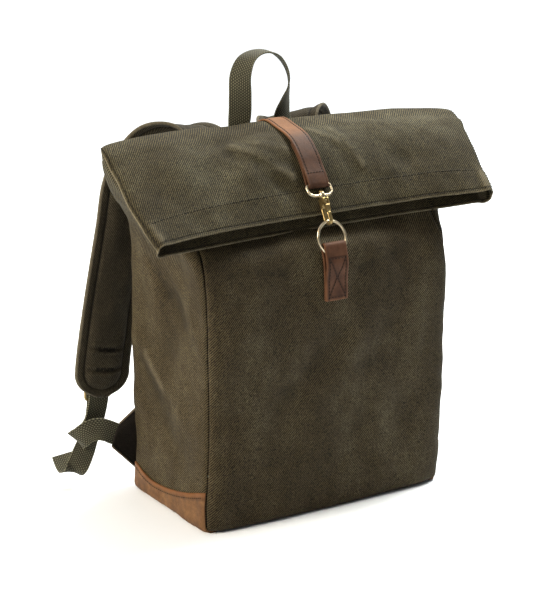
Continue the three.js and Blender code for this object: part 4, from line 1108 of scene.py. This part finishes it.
def plate(outline, thick, bevel, centre=0.0):
    """Flat casting in the hook's plane with rounded edges: outline rows are outwards and down."""
    sheet = bmesh.new()
    corners = [sheet.verts.new(in_hook(centre - thick / 2, a, b).tolist()) for a, b in outline]
    base = sheet.faces.new(corners)
    lifted = bmesh.ops.extrude_face_region(sheet, geom=[base])["geom"]
    moved = [v for v in lifted if isinstance(v, bmesh.types.BMVert)]
    bmesh.ops.translate(sheet, verts=moved, vec=(thick, 0, 0))
    bmesh.ops.recalc_face_normals(sheet, faces=sheet.faces)
    bmesh.ops.bevel(sheet, geom=list(sheet.edges), offset=bevel, segments=2, profile=0.6,
                    affect="EDGES")
    sheet.verts.index_update()
    points = np.array([v.co[:] for v in sheet.verts])
    faces = [[v.index for v in face.verts] for face in sheet.faces]
    sheet.free()
    return in_order(points, faces)


HOOK_MIDDLE = 4.5
bend = np.linspace(np.pi, 0, 25)
hook_line = np.concatenate([
    np.column_stack([np.full(12, -HOOK_MIDDLE), np.linspace(7, 26.4, 12)]),
    np.column_stack([HOOK_MIDDLE * np.cos(bend), BEND_DOWN + HOOK_MIDDLE * np.sin(bend)]),
    np.column_stack([np.full(7, HOOK_MIDDLE), np.linspace(26.4, 19.9, 7)]),
    [(HOOK_MIDDLE, 19.3), (HOOK_MIDDLE, 19.0)],
])
hook_radius = np.concatenate([np.full(12, 1.3), np.full(25, 1.3), np.full(7, 1.25), [0.95, 0.45]])
hook_path = in_hook(0 * hook_line[:, 0], hook_line[:, 0], hook_line[:, 1])
hook_bar = tube(hook_path, ALONG_X, hook_radius, 16, closed=False, flat=1.95)
cheek = [(-1.2, 3.2), (4.6, 3.2), (5.8, 4.6), (5.8, 9.4), (4.6, 10.6), (-1.2, 10.6)]
web = [(-5.8, 3.2), (-0.6, 3.2), (-0.6, 10.6), (-2.2, 11.6), (-3.3, 14.0), (-5.8, 14.0)]
swivel = lathe([(-5.0, 0.4), (-4.9, 1.6), (-4.4, 2.5), (-3.8, 2.6), (-3.3, 2.2), (-3.25, 1.5), (3.3, 1.5)])
collar = lathe([(2.95, 1.6), (3.0, 3.2), (3.5, 3.6), (4.2, 3.4), (4.3, 1.0)])
pin_path = np.linspace(-3.75, 3.75, 9)
pin_radius = [0.3, 0.95, 1.15, 0.9, 0.9, 0.9, 1.15, 0.95, 0.3]
pin = tube(PIVOT + ALONG_X * pin_path[:, None], hook_out, pin_radius, 14, closed=False)
bridge = [(3.2, 3.4), (5.5, 4.2), (5.5, 5.0), (3.2, 4.6)]
cheeks = [plate(cheek, 1.9, 0.4, x) for x in (-2.5, 2.5)]
head = [plate(web, 5.4, 0.5), *cheeks, swivel, plate(bridge, 5.0, 0.2), collar, pin]
hook_piece = wire_piece("brass_hook", [hook_bar, *head], brass)
settle(hook_piece, "bag", "brass", "snap_hook")

gate_turn = np.linspace(0.95 * np.pi, 2.15 * np.pi, 15)
gate_outline = [(PIVOT_OUT + 2.2 * math.cos(a), PIVOT_DOWN + 2.2 * math.sin(a)) for a in gate_turn]
gate_outline += [(5.5, 12.6), (4.9, 16.8), (2.9, 17.6), (2.9, 20.8), (0.7, 20.8), (0.75, 14.0)]
lever = [(3.6, 11.0), (5.6, 11.0), (6.3, 12.0), (6.2, 14.5), (5.6, 17.0), (5.1, 18.5), (3.8, 18.5)]
gate_parts = [plate(gate_outline, 2.6, 0.3), plate(lever, 5.3, 0.45)]
gate_piece = wire_piece("brass_gate", gate_parts, brass)
settle(gate_piece, "gate", "brass", "hook_gate")

# %% [markdown]
# ## Webbing
# The handle and the lower straps are coarse cotton webbing. Its weave is wide enough to see, so it is
# real relief: ribs along the strap with knots that step by half from one rib to the next. Through the
# `knot` mark the finish paints shade into the hollows between the yarns and a highlight on their tops.


# %% Webbing finish and helper
def webbing_finish():
    finish, tree, surface, where = start_finish("olive cotton webbing")
    fibre = noise(tree, where, 1500.0, 3.0, 0.65)
    cloud = noise(tree, where, 60.0, 3.0, 0.6)
    # The ramp over the knot mark is painted shade in the hollows between the yarns and a painted highlight
    # on their tops.
    shade_and_highlight_tones = [(0.25, (0.008, 0.0075, 0.0042)), (0.6, (0.039, 0.036, 0.0215)), (0.95, (0.16, 0.15, 0.098))]
    colour = ramp(tree, mark(tree, "knot"), shade_and_highlight_tones)
    tint = ramp(tree, weighted(tree, (fibre, 0.5), (cloud, 0.5)),
                [(0.3, (0.6, 0.6, 0.58)), (0.7, (1.2, 1.2, 1.15))])
    colour = mix(tree, 1.0, colour, tint, "MULTIPLY")
    set_inputs(tree, surface, Base_Color=colour, Roughness=0.85, Sheen_Weight=0.1, Specular_IOR_Level=0.25)
    roughen(tree, surface, fibre, 0.4, 0.0003)
    return finish


webbing = webbing_finish()
RIB, KNOT, YARN = 2.1, 3.0, 0.34


def weave(u, v):
    """Height of the yarns, 0 in the hollows."""
    rib = np.floor(u / RIB)
    across = np.abs(np.sin(np.pi * u / RIB))
    along = np.abs(np.sin(np.pi * (v / KNOT + 0.5 * np.mod(rib, 2))))
    return YARN * np.sqrt(across) * (0.35 + 0.65 * along)


def webbing_piece(name, node_name, route, across):
    columns = int((WEBBING_WIDTH - WEBBING) / RIB * 4) + 1
    outer, inner, uv = strip(route, across, WEBBING_WIDTH, WEBBING, columns,
                             lambda u, v: weave(u, v) - 0.6 * YARN)
    piece = sheet_piece(name, outer, inner, uv, webbing, {"knot": weave(uv[..., 0], uv[..., 1]) / YARN})
    settle(piece, "bag", "webbing", node_name)
    return outer, inner


# %% [markdown]
# ## Grab handle
# The handle is one length of webbing, both ends sewn to the back panel below the ridge. Its legs turn by
# a quarter on the way up, so the arch shows its face to the sides. The route gives the points and the
# turn.

# %% Grab handle
HANDLE_SEWN, HANDLE_X, HANDLE_Y = np.array([8.5, 8.8, 9.1, 9.4, 9.7]), 29.0, 54.0
HANDLE_LOOP = np.array([
    # x, z, turn in degrees
    (-25.6, 416, 28), (-25, 438, 40), (-24.5, 459, 52), (-18, 474.5, 68), (-8.5, 481.5, 80),
    (5, 483.6, 92), (20, 479, 102), (30.5, 469, 110), (37, 455.5, 117), (37.8, 442, 126),
    (33.5, 427, 146), (29.5, 412, 166),
])
sewn = on_bag(HANDLE_SEWN, 1.0, 3.5 * GAP + WEBBING / 2)
left_end, right_end = sewn.copy(), sewn[::-1].copy()
left_end[:, 0], right_end[:, 0] = -HANDLE_X, HANDLE_X
arch = np.column_stack([HANDLE_LOOP[:, 0], np.full(len(HANDLE_LOOP), HANDLE_Y), HANDLE_LOOP[:, 1]])
handle_rows = np.concatenate([left_end, arch, right_end])
handle_turns = np.concatenate([np.zeros(5), HANDLE_LOOP[:, 2], np.full(5, 180.0)])[:, None]
count = np.linspace(0, len(handle_rows) - 1, 900)
handle_turn_rows = through(np.hstack([handle_turns, 0 * handle_turns]), count)[:, :1]
route, turns = evenly(through(handle_rows, count), KNOT / 4, handle_turn_rows, soften=2)
turns = np.radians(turns[:, 0])
across = np.column_stack([-np.cos(turns), np.sin(turns), 0 * turns])
outer, inner = webbing_piece("webbing_handle", "grab_handle", route, across)
faces_out = unit(outer - inner)
BOX_HEIGHT, BOX_LEFT, BOX_RIGHT = 24, 0.12, 0.88
rows_in_box = int(BOX_HEIGHT / (KNOT / 4))
wide = outer.shape[1]
s = np.linspace(0, 1, 24)
for start in (2, len(outer) - 3 - rows_in_box):
    for r0, c0, r1, c1 in (
        (0, BOX_LEFT, 1, BOX_LEFT), (0, BOX_RIGHT, 1, BOX_RIGHT), (0, BOX_LEFT, 0, BOX_RIGHT),
        (1, BOX_LEFT, 1, BOX_RIGHT), (0, BOX_LEFT, 1, BOX_RIGHT), (0, BOX_RIGHT, 1, BOX_LEFT),
    ):
        r = np.round(start + rows_in_box * (r0 + (r1 - r0) * s)).astype(int)
        c = np.round((wide - 1) * (c0 + (c1 - c0) * s)).astype(int)
        sew_grid("canvas_thread", outer, faces_out, r, c, 0.15)

# %% [markdown]
# ## Lower webbing
# On each side the webbing leaves its anchor, turns back behind itself, goes over the middle bar of the
# slide and hangs down as a free tail that curls up at its end. The right side is the mirror image of the
# left.

# %% Lower webbing
LOWER = np.array([
    # x, y, z, face x, y, z
    (-148, 96, 54.5, 0, -1, 0.15), (-158, 97, 58.2, 0, -1, 0.2), (-167, 98.2, 62.4, 0, -1, 0.2),
    (-177, 99.5, 67.6, 0, -1, 0.3), (-187, 101.5, 69.5, -0.1, -1, 0.3), (-196, 104, 67, -0.3, -1, 0.2),
    (-203, 108.5, 60.5, -0.6, -0.8, 0), (-204.5, 115, 56.5, -0.7, 0, -0.7),
    (-196.5, 122, 55, -0.2, 1, -0.4), (-184.5, 126.5, 60, 0, 1, 0),
    (-175, 128.5, 71, 0, 1, 0), (-172, 128.2, 86, 0, 1, 0),
])
TAIL = np.array([
    (-172.6, 121.6, 95, 0, -1, 0), (-179.6, 118.8, 74, 0, -1, 0), (-189.2, 117, 53, -0.08, -1, 0),
    (-198, 114.8, 37, -0.4, -0.92, 0), (-206, 112.8, 25.5, -0.52, -0.85, -0.1),
    (-211, 115.5, 20, -0.3, -0.45, -0.85), (-212, 121.5, 20.7, 0.1, 0.15, -1),
    (-211.5, 131, 26.3, 0.31, 0.49, -0.73), (-210.5, 139, 32.5, 0.31, 0.49, -0.73),
])
bar_turn = np.linspace(0, np.pi, 7)
bar_radius = WIRE + GAP + WEBBING / 2
over_bar = np.column_stack([
    np.full(7, SLIDE_AT[0]), SLIDE_AT[1] + bar_radius * np.cos(bar_turn),
    SLIDE_AT[2] + bar_radius * np.sin(bar_turn), np.zeros(7), np.cos(bar_turn), np.sin(bar_turn),
])
rows = np.concatenate([LOWER, over_bar, TAIL])
lower_route, lower_face = faced_route(rows, 1400, KNOT / 4, 2)
lower_across = np.cross(lower_face, unit(np.gradient(lower_route, axis=0)))
for side, sign in SIDES:
    webbing_piece("webbing_low_" + side, "lower_webbing_" + side,
                  lower_route * (sign, 1, 1), lower_across * (1, sign, sign))

# %% [markdown]
# ## Padded shoulder straps
# Each strap is foam between two layers of canvas with a bound edge: a flat border, a stitched groove,
# then the crown of the filling. Two bar tacks pinch it near its lower end. It could be simulated as a
# filled cushion, but border and tacks are exact lines, so the section is drawn as a thickness over the
# distance from the outline, which also carries the groove round the end.

# %% Shoulder pads
PAD_WIDTH, PAD_THICK, PAD_END = 69.0, 12.0, 27.0
PAD_ROWS = np.array([
    # x, y, z, face x, y, z
    (-52, 80.5, 376, 0, 1, -0.1), (-57.5, 90, 389.5, -0.05, 0.5, -0.85),
    (-75, 103, 397, -0.1, -0.3, -1), (-98, 115, 385, -0.05, -0.85, -0.55),
    (-114, 122, 361, 0, -1, -0.15), (-124.5, 126, 337, 0, -1, 0),
    (-134.5, 125, 290, 0, -1, 0), (-147, 123, 236, 0, -1, 0), (-159.5, 120, 181, 0, -1, 0),
    (-168, 117, 140, 0, -1, 0), (-173, 114, 103, 0, -1, 0),
])
t = np.array([7.35, 7.7, 8.05])
pad_sewn = np.hstack([on_bag(t, 1.0, PAD_THICK / 2 - GAP), outward(t, 1.0)])
pad_sewn[:, 0] = -50
rows = np.concatenate([pad_sewn, PAD_ROWS])
pad_route, pad_face = faced_route(rows, 900, 2.2, 3)
pad_tangent = unit(np.gradient(pad_route, axis=0))
pad_across = unit(np.cross(pad_face, pad_tangent))
pad_out = np.cross(pad_across, pad_tangent)
pad_run = run_lengths(pad_route)
pad_left = np.maximum(1.2, pad_run[-1] - pad_run)[:, None]
PAD_COLUMNS = 49
even = np.linspace(-1, 1, PAD_COLUMNS)[None, :]
a = np.sin(np.linspace(-np.pi / 2, np.pi / 2, PAD_COLUMNS))[None, :] * 0.35 + even * 0.65
into_end = np.clip(1 - pad_left / PAD_END, 0, 1)
end_share = np.sqrt(1 - into_end**2)
inset = (1 - np.sqrt(into_end**2 + (a * end_share) ** 2)) * PAD_WIDTH / 2
crown = 2.0 + 3.9 * (1 - np.exp(-np.maximum(inset - BORDER, 0) / 6.5)) - 0.9 * bell(inset - BORDER, 1.1)
crown += 0.35 * bell(inset - 4.5, 3)
base = pad_route[:, None] + pad_across[:, None] * (a * end_share * (PAD_WIDTH - 4) / 2)[..., None]
crown += 0.5 * cloth_waves(base, 26, 21, 12) * smoothstep(inset, 2, 14) * 0.8
TACKS = (30.0, 54.0)
# The pad's mark of crests and hollows is negative in the groove and across each tack, which the finish
# darkens as painted shade, and positive on the lips beside a tack, which turn pale as rubbed wear.
pad_rub_and_shade = -0.8 * bell(inset - BORDER, 1.5)
for tack in TACKS:
    bowed = pad_left - tack + 1.5 * np.cos(a * 3.0)
    crown -= 2.3 * bell(bowed, 1.8) * smoothstep(inset, 9, 14)
    crown += 1.0 * bell(np.abs(bowed) - 4.6, 2.2) * smoothstep(inset, 11, 20)
    pad_rub_and_shade = pad_rub_and_shade - 1.1 * bell(bowed, 1.5) * smoothstep(inset, 10, 15)
    pad_rub_and_shade = pad_rub_and_shade + 0.7 * bell(np.abs(bowed) - 4.0, 1.5) * smoothstep(inset, 14, 20)
crown = np.maximum(crown, 1.1)
pad_uv = np.stack(np.broadcast_arrays(a * PAD_WIDTH / 2, pad_run[:, None]), -1)
pad_marks = {"rub_and_shade": pad_rub_and_shade, "from_edge": inset}
groove_rows = np.nonzero(pad_run[-1] - pad_run > 12)[0]
at_groove = np.argmin(np.abs(inset - BORDER)[:, :25], axis=1)[groove_rows]
tack_columns = np.linspace(17, 31, 24).round().astype(int)
for side, sign in SIDES:
    outer = (base + pad_out[:, None] * crown[..., None]) * (sign, 1, 1)
    inner = (base - pad_out[:, None] * crown[..., None]) * (sign, 1, 1)
    if sign < 0:
        outer, inner = outer[:, ::-1], inner[:, ::-1]
    pad = sheet_piece("padded_strap_" + side, outer, inner, pad_uv, pad_canvas, pad_marks)
    settle(pad, "bag", "pad_canvas", "shoulder_pad_" + side)
    faces_out = unit(outer - inner)
    for grid, lie in ((outer, faces_out), (inner, -faces_out)):
        for columns in (at_groove, PAD_COLUMNS - 1 - at_groove):
            sew_grid("pad_thread", grid, lie, groove_rows, columns, 0.3)
        for tack in TACKS:
            zigzag = int(np.argmin(np.abs(pad_left[:, 0] - tack))) + np.tile([-1, 1], 12)
            sew_grid("tack_thread", grid, lie, zigzag, tack_columns, 0.25)

# %% [markdown]
# ## Anchors
# A folded triangle of canvas is sewn into each lower back corner and holds the webbing. It is a small
# sheet, a little puffed between its stitched edges.

# %% Anchors
ANCHOR_GIRTH = 0.709
ANCHOR_LOW, ANCHOR_HIGH = 12, 94
corner_t = np.arange(1.5, 4, 0.01)
corner_z = on_bag(corner_t, ANCHOR_GIRTH)[:, 2]
anchor_t = np.interp([ANCHOR_LOW, ANCHOR_HIGH], corner_z, corner_t)
anchor_base = on_bag(anchor_t, ANCHOR_GIRTH, 1.5 - GAP) * (-1, 1, 1)
row = int(np.argmin(np.linalg.norm(lower_route - LOWER[2, :3], axis=1)))
end_across = unit(lower_across[row]) * np.sign(lower_across[row, 2])
anchor_end = np.array([-165.5, 94, 61.5]) + np.array([[-0.5], [0.5]]) * end_across * (WEBBING_WIDTH + 3)
u, v = np.meshgrid(np.linspace(0, 1, 26), np.linspace(0, 1, 30), indexing="ij")
low = anchor_base[0] + u[..., None] * (anchor_end[0] - anchor_base[0])
high = anchor_base[1] + u[..., None] * (anchor_end[1] - anchor_base[1])
anchor_grid = low + v[..., None] * (high - low)
edge_v = np.minimum(v, 1 - v) * np.linalg.norm(high - low, axis=-1)
puff = 1.15 + 0.35 * smoothstep(edge_v, ANCHOR_SEAM, 10) - 0.3 * bell(edge_v - ANCHOR_SEAM, 0.9)
thick = puff[..., None] * np.array([0, 1.0, 0])
anchor_uv = np.stack([u * 40, v * 60], -1)
# The mark of crests and hollows is negative along the stitched lines, so the finish darkens them as painted
# shade in their groove.
anchor_marks = {"rub_and_shade": -bell(edge_v - ANCHOR_SEAM, 0.9), "from_edge": edge_v}
for side, sign in SIDES:
    near, far = (anchor_grid - thick) * (sign, 1, 1), (anchor_grid + thick) * (sign, 1, 1)
    first, second = (near, far) if sign > 0 else (far, near)
    anchor = sheet_piece("canvas_anchor_" + side, first, second, anchor_uv, shaded_anchor_canvas, anchor_marks)
    settle(anchor, "bag", "pad_canvas", "anchor_" + side)
    for grid, lie in ((near, (0, -1.0, 0)), (far, (0, 1.0, 0))):
        for column in (3, 26):
            line = grid[1:-1, column] + 0.15 * np.array(lie)
            sew("pad_thread", line, np.tile(lie, (len(line), 1)))

# %% [markdown]
# ## Stitches
# Every line of stitches was kept while its piece was made. One Geometry Nodes tree sews them all: it
# turns the lines into curves, places points a stitch apart, and puts a small lens-shaped stitch on each,
# lying along the line and flat on the cloth. The result is made a plain mesh, so nothing live is left for
# the export.


# %% Stitch tree
def stitch_tree():
    tree = bpy.data.node_groups.new("stitches along lines", "GeometryNodeTree")
    socket = tree.interface.new_socket
    socket("Lines", in_out="INPUT", socket_type="NodeSocketGeometry")
    for name, kind in (("Pitch", "NodeSocketFloat"), ("Stitch Length", "NodeSocketFloat"),
                       ("Thread", "NodeSocketFloat"), ("Finish", "NodeSocketMaterial")):
        socket(name, in_out="INPUT", socket_type=kind)
    socket("Stitches", in_out="OUTPUT", socket_type="NodeSocketGeometry")
    entry = tree.nodes.new("NodeGroupInput")
    lines = node(tree, "GeometryNodeMeshToCurve", Mesh=entry.outputs["Lines"])
    points = node(tree, "GeometryNodeResampleCurve", {"mode": "LENGTH"}, Curve=lines.outputs[0],
                  Length=entry.outputs["Pitch"])
    lie = node(tree, "GeometryNodeInputNamedAttribute", {"data_type": "FLOAT_VECTOR"}, Name="lie")
    flat = node(tree, "FunctionNodeAlignRotationToVector", {"axis": "Z"}, Vector=lie.outputs["Attribute"])
    along = node(tree, "FunctionNodeAlignRotationToVector", {"axis": "X", "pivot_axis": "Z"},
                 Rotation=flat.outputs[0], Vector=tree.nodes.new("GeometryNodeInputTangent").outputs[0])
    lens = node(tree, "GeometryNodeMeshUVSphere", Segments=6, Rings=4, Radius=0.5)
    size = node(tree, "ShaderNodeCombineXYZ", X=entry.outputs["Stitch Length"], Y=entry.outputs["Thread"],
                Z=entry.outputs["Thread"])
    placed = node(tree, "GeometryNodeInstanceOnPoints", Points=points.outputs[0],
                  Instance=lens.outputs["Mesh"], Rotation=along.outputs[0], Scale=size.outputs[0])
    real = node(tree, "GeometryNodeRealizeInstances", Geometry=placed.outputs[0])
    smooth_shade = node(tree, "GeometryNodeSetShadeSmooth", Geometry=real.outputs[0])
    done = node(tree, "GeometryNodeSetMaterial", Geometry=smooth_shade.outputs[0],
                Material=entry.outputs["Finish"])
    leave = tree.nodes.new("NodeGroupOutput")
    tree.links.new(done.outputs[0], leave.inputs[0])
    return tree


def thread_finish(name, dark, light):
    finish, tree, surface, where = start_finish(name)
    twist = noise(tree, where, 1200.0, 2.0)
    set_inputs(tree, surface, Base_Color=ramp(tree, twist, [(0.3, dark), (0.7, light)]), Roughness=0.7,
               Specular_IOR_Level=0.12)
    roughen(tree, surface, twist, 0.3, 0.0002)
    return finish


STITCHES = stitch_tree()
THREADS = {
    # thread: slot, colour name, dark, light, pitch, stitch length, thickness in mm
    "canvas_thread": ("canvas", "olive", (0.004, 0.003, 0.0018), (0.014, 0.011, 0.0065), 3.8, 2.5, 1.1),
    "leather_thread": ("leather", "dark", (0.006, 0.0045, 0.0035), (0.022, 0.016, 0.011), 3.4, 2.9, 0.9),
    "base_thread": ("base_leather", "brown", (0.009, 0.006, 0.004), (0.032, 0.02, 0.012), 4.0, 3.4, 0.9),
    "pad_thread": ("pad_canvas", "black", (0.005, 0.004, 0.003), (0.016, 0.013, 0.009), 3.6, 3.1, 0.8),
    "tack_thread": ("pad_canvas", "tack", (0.004, 0.0032, 0.0022), (0.014, 0.011, 0.007), 1.3, 1.9, 0.9),
}


def stitch_piece(name, slot, finish, pitch, length, thick):
    points = np.concatenate([p for p, _ in SEAMS[name]]) * MM
    lie = np.concatenate([n for _, n in SEAMS[name]])
    edges, start = [], 0
    for line, _ in SEAMS[name]:
        edges += [(k, k + 1) for k in range(start, start + len(line) - 1)]
        start += len(line)
    mesh = bpy.data.meshes.new(name + "_lines")
    mesh.from_pydata(points.tolist(), edges, [])
    layer = mesh.attributes.new("lie", "FLOAT_VECTOR", "POINT")
    layer.data.foreach_set("vector", lie.astype(np.float32).ravel())
    guide = bpy.data.objects.new(name + "_lines", mesh)
    scene.collection.objects.link(guide)
    sewing = guide.modifiers.new("stitches", "NODES")
    sewing.node_group = STITCHES
    values = {"Pitch": pitch * MM, "Stitch Length": length * MM, "Thread": thick * MM, "Finish": finish}
    for item in STITCHES.interface.items_tree:
        if item.in_out == "INPUT" and item.name in values:
            sewing[item.identifier] = values[item.name]
    seen = guide.evaluated_get(bpy.context.evaluated_depsgraph_get())
    made = bpy.data.objects.new(name, bpy.data.meshes.new_from_object(seen))
    scene.collection.objects.link(made)
    guide.modifiers.clear()
    bpy.data.objects.remove(guide)
    settle(made, "bag", slot)
    print(name, "has", len(made.data.polygons), "faces")


for name, (slot, colour, dark, light, *sizes) in THREADS.items():
    stitch_piece(name, slot, thread_finish(colour + " thread", dark, light), *sizes)

# %% Size and finish
bpy.context.view_layer.update()
low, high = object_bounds()
print("visual box in mm:", [round(v / MM) for v in low], [round(v / MM) for v in high])
